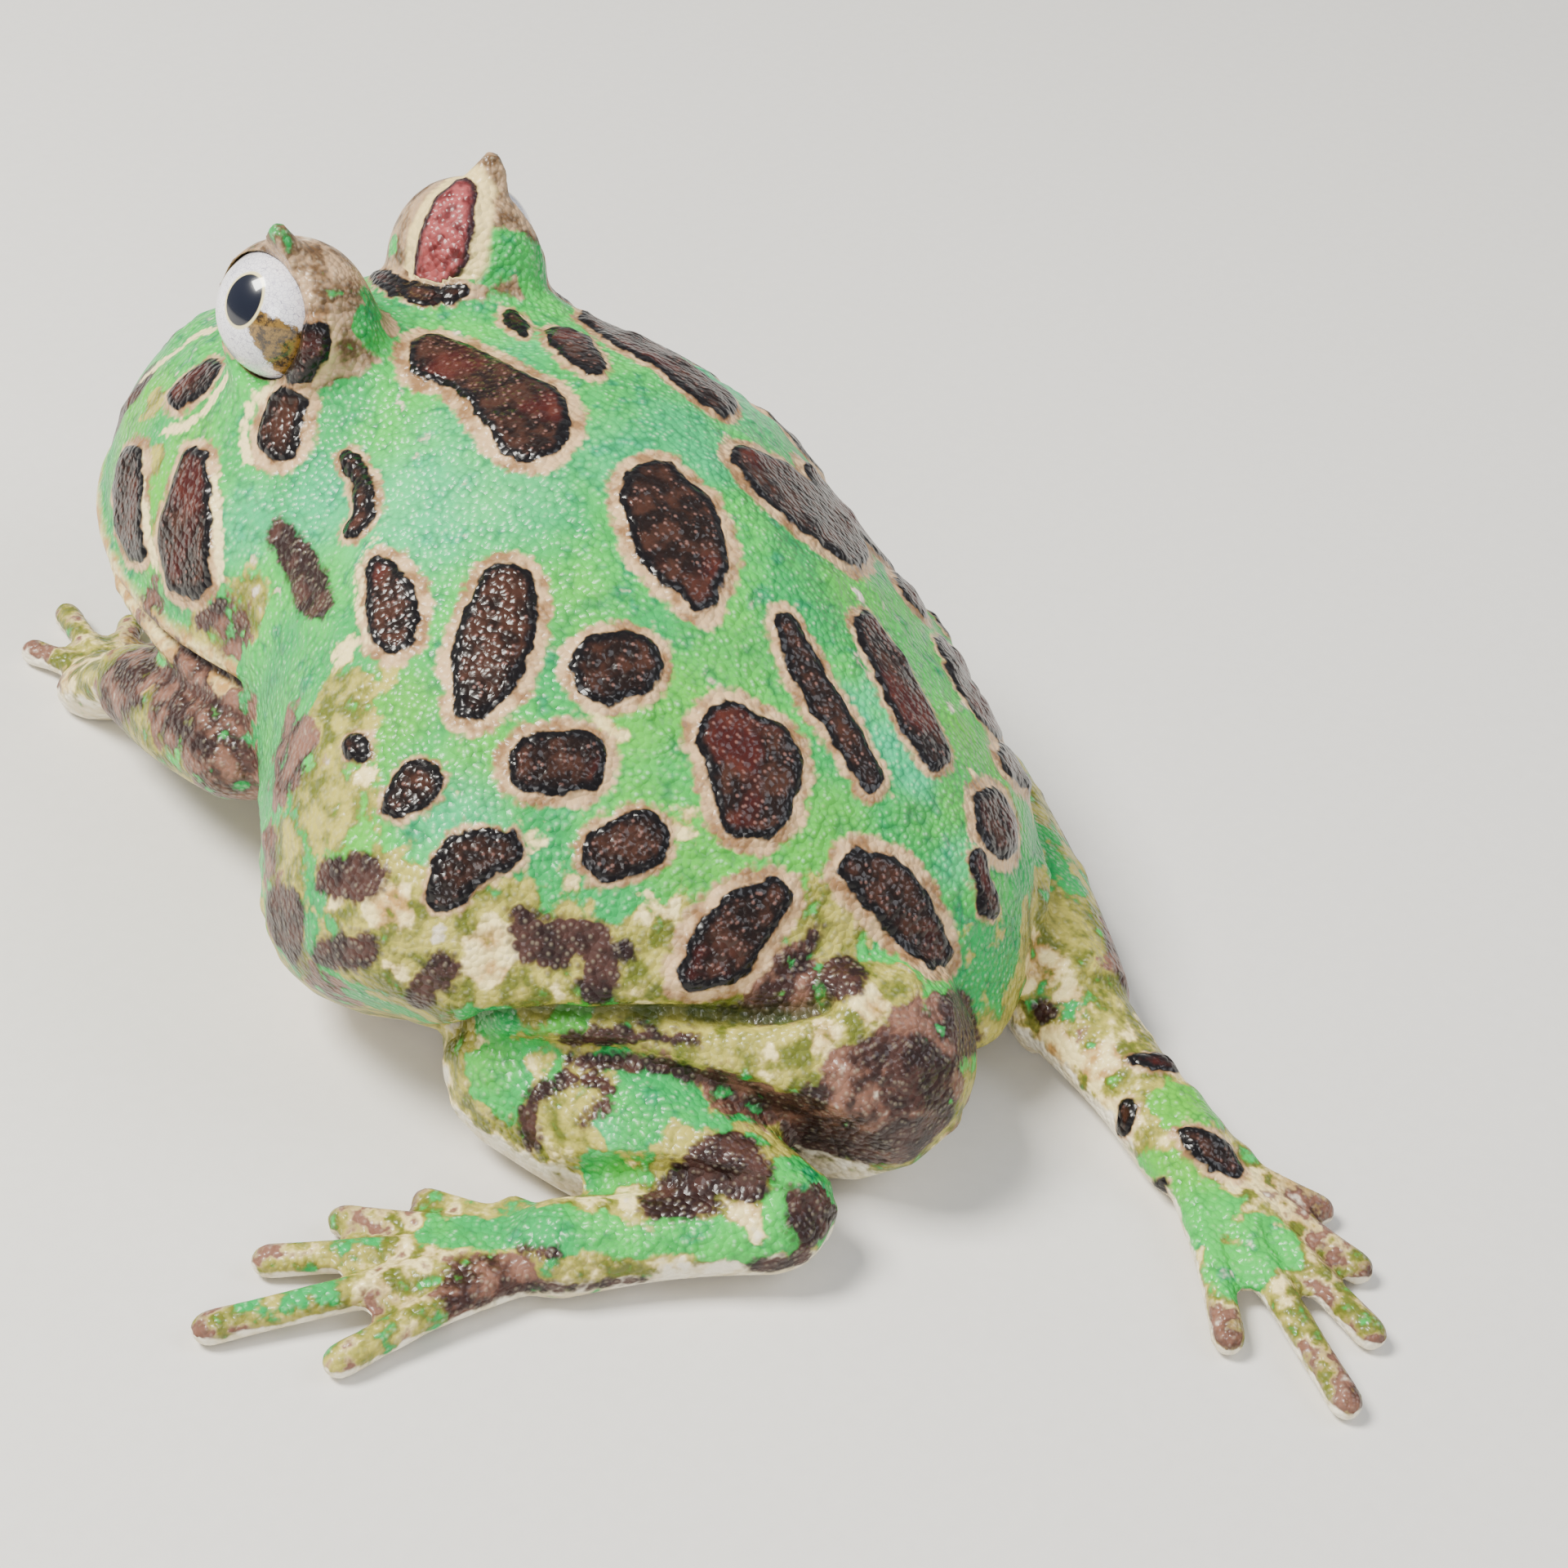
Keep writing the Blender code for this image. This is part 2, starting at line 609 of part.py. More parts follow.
def make_forelimb(side, label):
    """Upper arm, forearm and a four-fingered hand turned inward."""
    shoulder = mirrored(SHOULDER, side)
    elbow = mirrored(ELBOW, side)
    wrist = mirrored(WRIST, side)
    axis = Vector(((wrist - elbow).x, (wrist - elbow).y, 0.0)).normalized()
    axis = Matrix.Rotation(-side * HAND_TURN_IN, 3, "Z") @ axis
    palm = wrist + axis * PALM_REACH
    palm.z = PALM_HEIGHT
    bend = joint_plane(shoulder, elbow, wrist)
    wrist_bend = joint_plane(elbow, wrist, palm)

    upper_arm = tube("upper_arm", (shoulder, elbow), UPPER_ARM_RADII)
    combine(upper_arm, "DIFFERENCE", [body_cutter()])
    part_at(upper_arm, elbow, bend, False)
    finish(upper_arm, "upper_arm_" + label, "8FA46C", 0.45)

    forearm = tube("forearm", (elbow, wrist), FOREARM_RADII)
    combine(forearm, "DIFFERENCE", [body_cutter()])
    part_at(forearm, elbow, bend, True)
    part_at(forearm, wrist, wrist_bend, False)
    finish(forearm, "forearm_" + label, "8FA46C", 0.45)

    pad = tube("palm", (wrist, palm), (FOREARM_RADII[2], PALM_WIDTH / 2.0),
               height=PALM_FLATNESS, floor=UNDER_FLOOR)
    hand = unite([pad] + digits(palm, axis, side, FINGERS, FINGER_RADII))
    slice_off(hand, FLOOR_POINT, DOWN)
    part_at(hand, wrist, wrist_bend, True)
    finish(hand, "hand_" + label, "A9A077", 0.45)


def web(foot_root, axis, side):
    """Skin between the toes, with a shallow notch between each two."""
    base_z = UNDER_FLOOR / 2.0
    outline = [foot_root - axis * WEB_HEEL_REACH]
    for (spread, length), following in zip(TOES, TOES[1:] + (None,)):
        turn = Matrix.Rotation(-side * math.radians(spread), 3, "Z")
        outline.append(foot_root + turn @ axis * length * WEB_SHARE * MM)
        if following:
            half_way = Matrix.Rotation(-side * math.radians((spread + following[0]) / 2.0), 3, "Z")
            reach = (length + following[1]) / 2.0 * WEB_NOTCH_SHARE
            outline.append(foot_root + half_way @ axis * reach * MM)
    bm = bmesh.new()
    verts = [bm.verts.new((point.x, point.y, base_z)) for point in outline]
    face = bm.faces.new(verts)
    grown = bmesh.ops.extrude_face_region(bm, geom=[face])
    moved = [item for item in grown["geom"] if isinstance(item, bmesh.types.BMVert)]
    bmesh.ops.translate(bm, verts=moved, vec=(0.0, 0.0, WEB_THICKNESS - base_z))
    return add_object("web", bm)


def make_hind_limb(side, label, joints, thigh_radii):
    """Thigh, shank and a five-toed, partly webbed foot."""
    hip, knee, heel, foot_end = joints
    knee_cut = joint_plane(hip, knee, heel)
    heel_cut = joint_plane(knee, heel, foot_end)

    thigh = tube("thigh", (hip, knee), thigh_radii)
    part_at(thigh, knee, knee_cut, False)
    finish(thigh, "thigh_" + label, "8C8A4E", 0.42)

    shank = tube("shank", (knee, heel), SHANK_RADII)
    part_at(shank, knee, knee_cut, True)
    part_at(shank, heel, heel_cut, False)
    finish(shank, "shank_" + label, "63C487", 0.42)

    axis = Vector(((foot_end - heel).x, (foot_end - heel).y, 0.0)).normalized()
    root = heel + axis * TARSUS_LENGTH
    root.z = TOE_ROOT_HEIGHT
    tarsus = tube("tarsus", (heel, root), TARSUS_RADII, height=TARSUS_FLATNESS, floor=UNDER_FLOOR)
    toes = digits(root, axis, side, TOES, TOE_RADII)
    inward = Matrix.Rotation(-side * TUBERCLE_TURN, 3, "Z") @ axis
    tubercle = ball("tubercle", root + inward * TUBERCLE_OFFSET, TUBERCLE_RADII,
                    segments=12, rings=8)
    foot = unite([tarsus, web(root, axis, side), tubercle] + toes)
    slice_off(foot, FLOOR_POINT, DOWN)
    part_at(foot, heel, heel_cut, True)
    combine(foot, "DIFFERENCE", [body_cutter()])
    finish(foot, "foot_" + label, "A3A872", 0.45)


def centre_over_origin():
    """Move the whole frog so that the middle of its box stands over the origin."""
    points = [vert.co for obj in parts.objects for vert in obj.data.vertices]
    low = Vector([min(point[k] for point in points) for k in range(3)])
    high = Vector([max(point[k] for point in points) for k in range(3)])
    middle = (low + high) / 2.0
    for obj in parts.objects:
        obj.data.transform(Matrix.Translation((-middle.x, -middle.y, -low.z)))


make_head()
make_lower_jaw()
make_torso()
for side, label in ((1, "left"), (-1, "right")):
    make_eye(side, label)
    make_eyelid(side, label)
    make_forelimb(side, label)
make_hind_limb(1, "left", LEFT_LEG, LEFT_THIGH_RADII)
make_hind_limb(-1, "right", RIGHT_LEG, RIGHT_THIGH_RADII)
centre_over_origin()
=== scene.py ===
import math

import bpy
import numpy as np
from mathutils import Matrix, Vector
from mathutils.bvhtree import BVHTree


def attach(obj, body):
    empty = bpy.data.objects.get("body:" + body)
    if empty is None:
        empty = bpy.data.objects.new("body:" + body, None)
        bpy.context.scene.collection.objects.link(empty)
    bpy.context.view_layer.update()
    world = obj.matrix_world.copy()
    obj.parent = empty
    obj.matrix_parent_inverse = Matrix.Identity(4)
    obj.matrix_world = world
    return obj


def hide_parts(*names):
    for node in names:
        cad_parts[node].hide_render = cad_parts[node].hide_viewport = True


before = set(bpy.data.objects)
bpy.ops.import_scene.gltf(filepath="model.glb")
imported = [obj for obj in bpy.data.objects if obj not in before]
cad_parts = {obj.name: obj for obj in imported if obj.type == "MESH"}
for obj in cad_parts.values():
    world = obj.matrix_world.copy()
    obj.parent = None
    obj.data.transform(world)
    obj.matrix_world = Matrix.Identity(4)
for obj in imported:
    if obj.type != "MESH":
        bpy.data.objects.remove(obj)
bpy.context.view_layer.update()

# Camera
# The frog is seen from behind its left shoulder, from 36 degrees above the floor, with the
# camera rolled by eight degrees. Marks on the skin are placed by pixels of this view, so the
# camera comes first.

MM = 0.001
UP = Vector((0.0, 0.0, 1.0))
PICTURE = 1920
VIEW_AZIMUTH = math.radians(127.8)
VIEW_ELEVATION = math.radians(36.0)
VIEW_ROLL = math.radians(8.0)
VIEW_ANGLE = math.radians(28.0)
VIEW_DISTANCE = 210 * MM
FROG_MIDDLE = Vector((-13.22, -11.83, 0.0)) * MM
VIEW_TARGET = FROG_MIDDLE + Vector((-1.55, 15.3, 13.6)) * MM

back = Vector((
    math.sin(VIEW_AZIMUTH) * math.cos(VIEW_ELEVATION),
    -math.cos(VIEW_AZIMUTH) * math.cos(VIEW_ELEVATION),
    math.sin(VIEW_ELEVATION),
))
level = (-back).cross(UP).normalized()
upright = level.cross(-back)
view_right = level * math.cos(VIEW_ROLL) + upright * math.sin(VIEW_ROLL)
view_up = upright * math.cos(VIEW_ROLL) - level * math.sin(VIEW_ROLL)
view_point = VIEW_TARGET + back * VIEW_DISTANCE
focal_pixels = PICTURE / 2 / math.tan(VIEW_ANGLE / 2)

camera_data = bpy.data.cameras.new("camera")
camera_data.sensor_width = 36
camera_data.lens = 18 / math.tan(VIEW_ANGLE / 2)
camera_data.clip_start = 0.01
camera_data.clip_end = 10
camera = bpy.data.objects.new("camera", camera_data)
facing = Matrix((view_right, view_up, back)).transposed().to_4x4()
camera.matrix_world = Matrix.Translation(view_point) @ facing
bpy.context.scene.collection.objects.link(camera)
bpy.context.scene.camera = camera


def pixel_ray(x, y):
    """Direction from the camera through one pixel of the picture."""
    across = (x - PICTURE / 2) / focal_pixels
    down = (y - PICTURE / 2) / focal_pixels
    return (view_right * across - view_up * down - back).normalized()


# Skin: the form
# One soft, moist hide covers the whole frog, from the lips to the tips of the toes. It is made
# as a single casting: the flesh of the frame is swelled until its parts fuse, wrapped in one
# even mesh, let back to size and then worked over like clay.

SWELL = 0.35 * MM
WEAVE = 0.42 * MM
WELD = 0.002 * MM
SOFTENINGS = 4
FLESH = [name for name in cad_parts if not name.startswith("eye_")]


def apply_modifier(obj, kind, **settings):
    """Add one modifier to an object and apply it."""
    modifier = obj.modifiers.new("step", kind)
    for key, value in settings.items():
        setattr(modifier, key, value)
    bpy.context.view_layer.objects.active = obj
    bpy.ops.object.modifier_apply(modifier=modifier.name)


bpy.ops.object.select_all(action="DESELECT")
for name in FLESH:
    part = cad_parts[name]
    copy = bpy.data.objects.new("flesh", part.data.copy())
    bpy.context.scene.collection.objects.link(copy)
    copy.select_set(True)
    bpy.context.view_layer.objects.active = copy
bpy.ops.object.join()
skin = bpy.context.view_layer.objects.active
skin.name = "skin"
bpy.ops.object.mode_set(mode="EDIT")
bpy.ops.mesh.select_all(action="SELECT")
bpy.ops.mesh.remove_doubles(threshold=WELD)
bpy.ops.object.mode_set(mode="OBJECT")
skin.data.materials.clear()
apply_modifier(skin, "DISPLACE", strength=SWELL, mid_level=0.0)
apply_modifier(skin, "REMESH", mode="VOXEL", voxel_size=WEAVE)
apply_modifier(skin, "DISPLACE", strength=-SWELL, mid_level=0.0)
apply_modifier(skin, "SMOOTH", factor=0.5, iterations=SOFTENINGS)

count = len(skin.data.vertices)
flat = np.empty(count * 3)
skin.data.vertices.foreach_get("co", flat)
points = flat.reshape(-1, 3) / MM
edge_ends = np.empty(len(skin.data.edges) * 2, dtype=np.int64)
skin.data.edges.foreach_get("vertices", edge_ends)
edge_ends = edge_ends.reshape(-1, 2)
valence = np.bincount(edge_ends.ravel(), minlength=count)[:, None]
middle = np.array(FROG_MIDDLE) / MM


def body_place(x, y, z):
    """A place in millimetres, counted from the middle of the snout-to-rump line."""
    return middle + np.array((x, y, z))


def relax(weights, rounds):
    """Draw each point towards its neighbours, as a thumb smooths clay."""
    global points
    pull = weights[:, None] * 0.5
    for _ in range(rounds):
        total = np.zeros_like(points)
        np.add.at(total, edge_ends[:, 0], points[edge_ends[:, 1]])
        np.add.at(total, edge_ends[:, 1], points[edge_ends[:, 0]])
        points = points + (total / valence - points) * pull


def outward():
    """Unit normals of the skin as it is now."""
    skin.data.vertices.foreach_set("co", (points * MM).ravel())
    skin.data.update()
    normals = np.empty(count * 3)
    skin.data.vertex_normals.foreach_get("vector", normals)
    return normals.reshape(-1, 3)


def soft_step(value, start, end):
    """0 at start and 1 at end, with a soft slope between them."""
    share = np.clip((value - start) / (end - start), 0, 1)
    return share * share * (3 - 2 * share)


def hump(distance, place, width):
    """1 at one distance, fading away on both sides of it."""
    return np.exp(-((distance - place) / width)**2)


# Skin: eyelids, mouth and nostrils
# The lids grow out of the flat head in a wide flare, and each ends in a short soft horn. The
# mouth is a fine line between two rounded lips that ends under the eye. The nostrils are two
# small pits with raised rims on top of the snout.

EYE_PLANE_X = 1.4
EYE_CENTRE = (9.7, -23.1, 35.6)
EYE_RADIUS = 4.5
EYE_SLIT = 0.05
LID_CENTRE = (9.2, -22.6, 35.0)
FLARE_PLACE = 6.6
FLARE_WIDTH = 2.2
FLARE_LIFT = 0.9
FLARE_ROUNDS = 60
MOUTH_LOW_Y = -32.0
MOUTH_LOW_Z = 13.8
MOUTH_CURVE = 0.006
MOUTH_CORNER_Y = -13.0
MOUTH_HALF_WIDTH = 24.0
MOUTH_DEPTH = 0.9
LIP_PLACE = 1.3
LIP_RISE = 0.12
NOSTRIL_PLACE = (3.1, -42.6)
NOSTRIL_PIT = 1.1
NOSTRIL_RIM = 0.2


def both_sides(place, plane=0.0):
    """The same place on the left and on the right of the head."""
    x, y, z = place
    return body_place(x, y, z), body_place(2 * plane - x, y, z)


eye_centres = both_sides(EYE_CENTRE, EYE_PLANE_X)
lid_centres = both_sides(LID_CENTRE, EYE_PLANE_X)
for eye_centre, lid_centre in zip(eye_centres, lid_centres):
    from_lid = np.linalg.norm(points - lid_centre, axis=1)
    from_eye = np.linalg.norm(points - eye_centre, axis=1)
    low = soft_step(points[:, 2], 38.0, 34.0)
    flare = hump(from_lid, FLARE_PLACE, FLARE_WIDTH) * low * soft_step(from_eye, 5.2, 6.2)
    points = points + outward() * (flare * FLARE_LIFT)[:, None]
    relax(np.clip(flare * 1.4, 0, 1), FLARE_ROUNDS)
    from_eye = np.linalg.norm(points - eye_centre, axis=1)
    hug = soft_step(from_eye, 5.6, 5.0) * soft_step(from_eye, 4.2, 4.5)
    reach = from_eye + (EYE_RADIUS + EYE_SLIT + (from_eye - EYE_RADIUS) * 0.6 - from_eye) * hug
    points = eye_centre + (points - eye_centre) * (reach / from_eye)[:, None]

normals = outward()
local = points - middle
mouth_height = MOUTH_LOW_Z + MOUTH_CURVE * (local[:, 1] - MOUTH_LOW_Y)**2
from_mouth = local[:, 2] - mouth_height
at_mouth = soft_step(local[:, 1], MOUTH_CORNER_Y + 1.0, MOUTH_CORNER_Y - 1.0)
at_mouth = at_mouth * (np.abs(local[:, 0]) < MOUTH_HALF_WIDTH)
groove = hump(from_mouth, 0.0, 0.5) * at_mouth
lips = hump(np.abs(from_mouth), LIP_PLACE, 0.8) * at_mouth
points = points + normals * (lips * LIP_RISE - groove * MOUTH_DEPTH)[:, None]

for side in (1, -1):
    aside = np.abs(local[:, :2] - (side * NOSTRIL_PLACE[0], NOSTRIL_PLACE[1]))
    near = (aside < 0.5).all(axis=1) & (normals[:, 2] > 0.1)
    if not near.any():
        continue
    nostril = points[near].mean(axis=0)
    away = np.linalg.norm(points - nostril, axis=1)
    pit = hump(away, 0.0, 0.75)
    rim = hump(away, 1.35, 0.5)
    points = points + normals * (rim * NOSTRIL_RIM - pit * NOSTRIL_PIT)[:, None]


# Skin: the marks
# The frog's back carries rounded blotches that stand a little proud, each with a granular
# black rim and a tan ring. They are placed one by one as the picture shows them, and those of
# the hidden side are mirrored with small seeded changes.

PIXELS_PER_MM = 17
CIRCLE_STEPS = 18
DISC_STEPS = 5
FEWEST_HITS = 6
MIRROR_SHIFT = 0.8
MIRROR_SIZES = (0.85, 1.1)
SEEN_FROM = 0.12
WIDE_RING = 0.95
THIN_RING = 0.5

# A mark is its ring's width in mm and a row of discs, each with its place and radius in pixels.
# A smudge is flat and has no ring.
MARKS = {
    "nape_kidney": (1.05, (528, 440, 30), (568, 452, 28), (608, 483, 37), (647, 516, 52)),
    "nape_small": (THIN_RING, (680, 415, 13), (705, 430, 20), (728, 450, 14)),
    "nape_dash": (THIN_RING, (625, 390, 10), (640, 405, 9)),
    "nape_right": (0.6, (716, 391, 8), (757, 414, 12), (806, 441, 13), (850, 472, 15), (884, 497, 16)),
    "lid_rear": (THIN_RING, (388, 404, 14), (383, 430, 20), (366, 458, 14)),
    "cheek": (1.0, (353, 497, 24), (343, 538, 27)),
    "snout_side": (THIN_RING, (261, 452, 11), (241, 471, 16), (219, 490, 14)),
    "face_stripe": (0.8, (240, 566, 18), (234, 617, 28), (228, 661, 33), (234, 706, 27)),
    "snout_stripe": (0.8, (164, 559, 13), (161, 598, 18), (161, 642, 16), (169, 674, 13)),
    "jaw_streak": (0.5, (428, 563, 11), (444, 591, 13), (448, 630, 14), (432, 652, 10)),
    "jaw_corner": (0.9, (473, 703, 19), (483, 738, 30), (483, 776, 27)),
    "shoulder": (WIDE_RING, (620, 728, 38), (610, 773, 46), (594, 824, 42), (579, 865, 22)),
    "back_front": (WIDE_RING, (801, 606, 42), (825, 648, 55), (850, 702, 43), (857, 733, 20)),
    "back_small": (0.8, (740, 819, 43), (768, 817, 43)),
    "flank_upper": (0.8, (658, 937, 38), (704, 934, 40)),
    "back_middle": (WIDE_RING, (893, 901, 43), (920, 937, 60), (923, 983, 48)),
    "flank_middle": (THIN_RING, (745, 1044, 36), (783, 1029, 38)),
    "stripe_left": (0.65, (959, 763, 14), (990, 830, 20), (1031, 896, 19), (1066, 957, 16)),
    "stripe_right": (THIN_RING, (1056, 763, 14), (1087, 819, 20), (1117, 876, 22), (1145, 927, 18)),
    "edge_thin": (0.3, (1148, 785, 6), (1172, 832, 8), (1200, 875, 8), (1222, 900, 6)),
    "back_right": (0.9, (905, 560, 13), (945, 590, 25), (1000, 635, 27), (1045, 680, 17)),
    "rump_left": (1.0, (1050, 1066, 26), (1084, 1086, 36), (1117, 1131, 32), (1143, 1166, 22)),
    "flank_rear": (WIDE_RING, (944, 1100, 25), (913, 1125, 38), (878, 1166, 40), (847, 1192, 20)),
    "rump_right": (0.9, (1210, 985, 20), (1218, 1010, 24), (1226, 1035, 18)),
    "rump_edge": (0.2, (1192, 1045, 9), (1200, 1080, 11), (1210, 1115, 12)),
    "shoulder_low": (0.3, (490, 985, 22), (515, 960, 30)),
    "shoulder_spot": (0.3, (439, 917, 18)),
    "flank_front": (0.3, (617, 1041, 26), (571, 1052, 34), (545, 1095, 24)),
    "foot_bar": (0.2, (1385, 1300, 8), (1415, 1303, 11), (1445, 1310, 8)),
    "foot_spot": (0.2, (1384, 1356, 13), (1378, 1385, 9)),
    "foot_blotch": (0.4, (1455, 1392, 12), (1485, 1412, 20), (1510, 1436, 12)),
    "foot_dot": (0.1, (1422, 1450, 11)),
    "foot_edge": (0.1, (1378, 1420, 7), (1388, 1452, 8)),
}
SMUDGES = {
    "flank_cloud": ((640, 1130, 22), (663, 1153, 34), (726, 1153, 28), (732, 1205, 26)),
    "flank_dot": ((764, 1164, 15),),
    "flank_drop": ((543, 1187, 24), (514, 1216, 19)),
    "flank_bar": ((439, 1164, 26), (400, 1167, 20)),
    "flank_end": ((350, 1110, 26), (340, 1170, 30)),
    "rump_dash": ((996, 1141, 10), (979, 1181, 11)),
    "rump_cloud": ((1031, 1198, 30),),
    "fold_dash": ((887, 1233, 8), (950, 1230, 9)),
    "thigh_bar": ((690, 1270, 9), (770, 1265, 11), (850, 1272, 9)),
    "thigh_top": ((700, 1300, 10), (800, 1305, 14), (880, 1322, 12)),
    "thigh_line": ((900, 1352, 9), (960, 1350, 11), (1010, 1338, 11)),
    "thigh_rear": ((1080, 1290, 30), (1120, 1310, 42), (1100, 1345, 26)),
    "thigh_low": ((940, 1385, 14), (1010, 1395, 16), (1060, 1405, 20)),
    "thigh_end": ((1120, 1400, 34), (1160, 1380, 24)),
    "vent": ((1170, 1230, 20), (1185, 1275, 20)),
    "jaw_patch": ((345, 655, 20), (368, 690, 24), (385, 735, 26)),
    "jaw_low": ((270, 740, 12), (250, 760, 14)),
    "arm_band": ((288, 908, 11), (306, 934, 13)),
    "arm_line": ((180, 815, 7), (240, 845, 9), (300, 885, 8)),
    "arm_spot": ((210, 885, 10), (250, 915, 12)),
    "arm_front": ((150, 815, 10), (165, 860, 10)),
    # The two smudges under the left foot are painted shade, not marks of the hide.
    "foot_left_under_shade": ((620, 1580, 16), (700, 1590, 20), (780, 1580, 18)),
    "foot_left_heel_shade": ((930, 1562, 22), (980, 1545, 14)),
    "foot_left_top": ((640, 1530, 8), (680, 1536, 10)),
    "shank_blotch": ((800, 1478, 20), (845, 1458, 38), (890, 1430, 46), (912, 1442, 36)),
    "shank_end": ((1279, 1237, 18),),
    "shank_right": ((1245, 1290, 14),),
    "elbow_patch": ((410, 1075, 26), (440, 1075, 34)),
    "shank_front": ((652, 1400, 13), (648, 1362, 14), (670, 1330, 12), (712, 1320, 10), (748, 1332, 9)),
    "shank_front_end": ((742, 1354, 10), (712, 1374, 9)),
}
LID_MARK = {"lid_red": (1.0, (568, 238, 18), (556, 260, 27), (548, 288, 31), (541, 316, 31), (530, 338, 24))}
LID_FOOT = {
    "lid_foot_left": (0.2, (468, 344, 12), (487, 352, 15)),
    "lid_foot_middle": (0.2, (508, 361, 15), (528, 364, 15)),
    "lid_foot_right": (0.2, (550, 363, 13), (568, 357, 11)),
}

faces = [tuple(polygon.vertices) for polygon in skin.data.polygons]
surface = BVHTree.FromPolygons([Vector(point) for point in points], faces)
camera_place = view_point / MM
normals = outward()
rng = np.random.default_rng(7)


def disc_outline(discs):
    """Closed outline in pixels round a row of discs."""
    discs = np.array(discs, dtype=float)
    if len(discs) == 1:
        turns = np.linspace(0, math.tau, CIRCLE_STEPS, endpoint=False)
        ring = np.stack([np.cos(turns), np.sin(turns)], axis=1)
        return discs[0, :2] + ring * discs[0, 2]
    spots = np.linspace(0, len(discs) - 1, (len(discs) - 1) * DISC_STEPS + 1)
    index = np.minimum(spots.astype(int), len(discs) - 2)
    share = (spots - index)[:, None]
    rise = np.gradient(discs, axis=0)
    span = discs[index + 1] - discs[index]
    bend = 3 * span - 2 * rise[index] - rise[index + 1]
    twist = rise[index] + rise[index + 1] - 2 * span
    path = discs[index] + rise[index] * share + bend * share**2 + twist * share**3
    along = np.gradient(path[:, :2], axis=0)
    along /= np.linalg.norm(along, axis=1)[:, None]
    across = np.stack([-along[:, 1], along[:, 0]], axis=1)
    size = path[:, 2:]
    left = path[:, :2] + across * size
    right = path[:, :2] - across * size
    turns = np.radians((60, 30, 0, -30, -60))[:, None]
    front = path[-1, :2] + (along[-1] * np.cos(turns) + across[-1] * np.sin(turns)) * size[-1]
    rear = path[0, :2] + (-along[0] * np.cos(turns) - across[0] * np.sin(turns)) * size[0]
    return np.concatenate([left, front, right[::-1], rear])


def seen(x, y):
    """Where the ray through a pixel meets the skin, and the skin's normal there."""
    place, normal, _, _ = surface.ray_cast(camera_place, pixel_ray(x, y))
    return place, normal


def outline_on_skin(discs):
    """Outline of a mark on the skin itself, in millimetres, with its middle and normal."""
    across, down, _ = np.array(discs, dtype=float).mean(axis=0)
    centre, _ = seen(across, down)
    if centre is None:
        return None
    outline = disc_outline(discs)
    reach = np.ptp(outline, axis=0).max() / PIXELS_PER_MM * 1.7 + 2
    hits = [seen(x, y) for x, y in outline]
    hits = [(place, normal) for place, normal in hits if place is not None]
    hits = [(place, normal) for place, normal in hits if (place - centre).length < reach]
    if len(hits) < FEWEST_HITS:
        return None
    ring = np.array([place for place, _ in hits])
    normal = np.array([normal for _, normal in hits]).mean(axis=0)
    return ring, normal / np.linalg.norm(normal)


def mirrored_outline(ring):
    """The same outline on the other side, changed a little, unless the picture shows that place."""
    other = ring.copy()
    other[:, 0] = 2 * middle[0] - other[:, 0]
    centre = other.mean(axis=0)
    centre_moved = centre + rng.normal(0, MIRROR_SHIFT, 3)
    other = centre_moved + (other - centre) * rng.uniform(*MIRROR_SIZES)
    found = [surface.find_nearest(Vector(place)) for place in other]
    ring = np.array([place for place, _, _, _ in found])
    normal = np.array([normal for _, normal, _, _ in found]).mean(axis=0)
    normal /= np.linalg.norm(normal)
    centre = ring.mean(axis=0)
    to_camera = np.array(camera_place) - centre
    if normal @ to_camera > SEEN_FROM * np.linalg.norm(to_camera):
        return None
    return ring[::-1], normal


def outline_distance(places, ring):
    """Distance of flat places to a closed outline, negative inside it."""
    start = ring[None]
    side = (np.roll(ring, -1, axis=0) - ring)[None]
    gap = places[:, None] - start
    share = np.clip((gap * side).sum(axis=2) / np.maximum((side**2).sum(axis=2), 1e-9), 0, 1)
    near = np.linalg.norm(gap - share[..., None] * side, axis=2).min(axis=1)
    above = start[..., 1] > places[:, None, 1]
    crosses = above != np.roll(above, -1, axis=1)
    slope = np.where(np.abs(side[..., 1]) > 1e-9, side[..., 1], 1e-9)
    at = start[..., 0] + side[..., 0] * (places[:, None, 1] - start[..., 1]) / slope
    inside = (crosses & (places[:, None, 0] < at)).sum(axis=1) % 2 == 1
    return np.where(inside, -near, near)


MARK_REACH = 3.0
MARK_EDGE = 0.25


def distance_to_marks(rings):
    """Distance in mm from each point of the skin to the nearest mark and to its ring, negative inside."""
    field = np.full(count, MARK_REACH)
    beyond = np.full(count, MARK_REACH)
    for ring, normal, width in rings:
        centre = ring.mean(axis=0)
        first = np.cross(normal, (0.0, 0.3, 1.0))
        first /= np.linalg.norm(first)
        second = np.cross(normal, first)
        reach = np.linalg.norm(ring - centre, axis=1).max() + MARK_REACH
        offset = points - centre
        close = (np.linalg.norm(offset, axis=1) < reach) & (normals @ normal > 0.0)
        axes = np.stack([first, second], axis=1)
        away = outline_distance(offset[close] @ axes, (ring - centre) @ axes)
        field[close] = np.minimum(field[close], away)
        beyond[close] = np.minimum(beyond[close], away - width)
    return field, beyond


def rings_of(marks, mirror=True):
    """Outlines of all marks of a table, and of their partners on the hidden side."""
    rings = []
    for width, *discs in marks.values():
        found = outline_on_skin(discs)
        if found is None:
            continue
        rings.append((*found, width))
        partner = mirrored_outline(found[0]) if mirror else None
        if partner is not None:
            rings.append((*partner, width))
    return rings


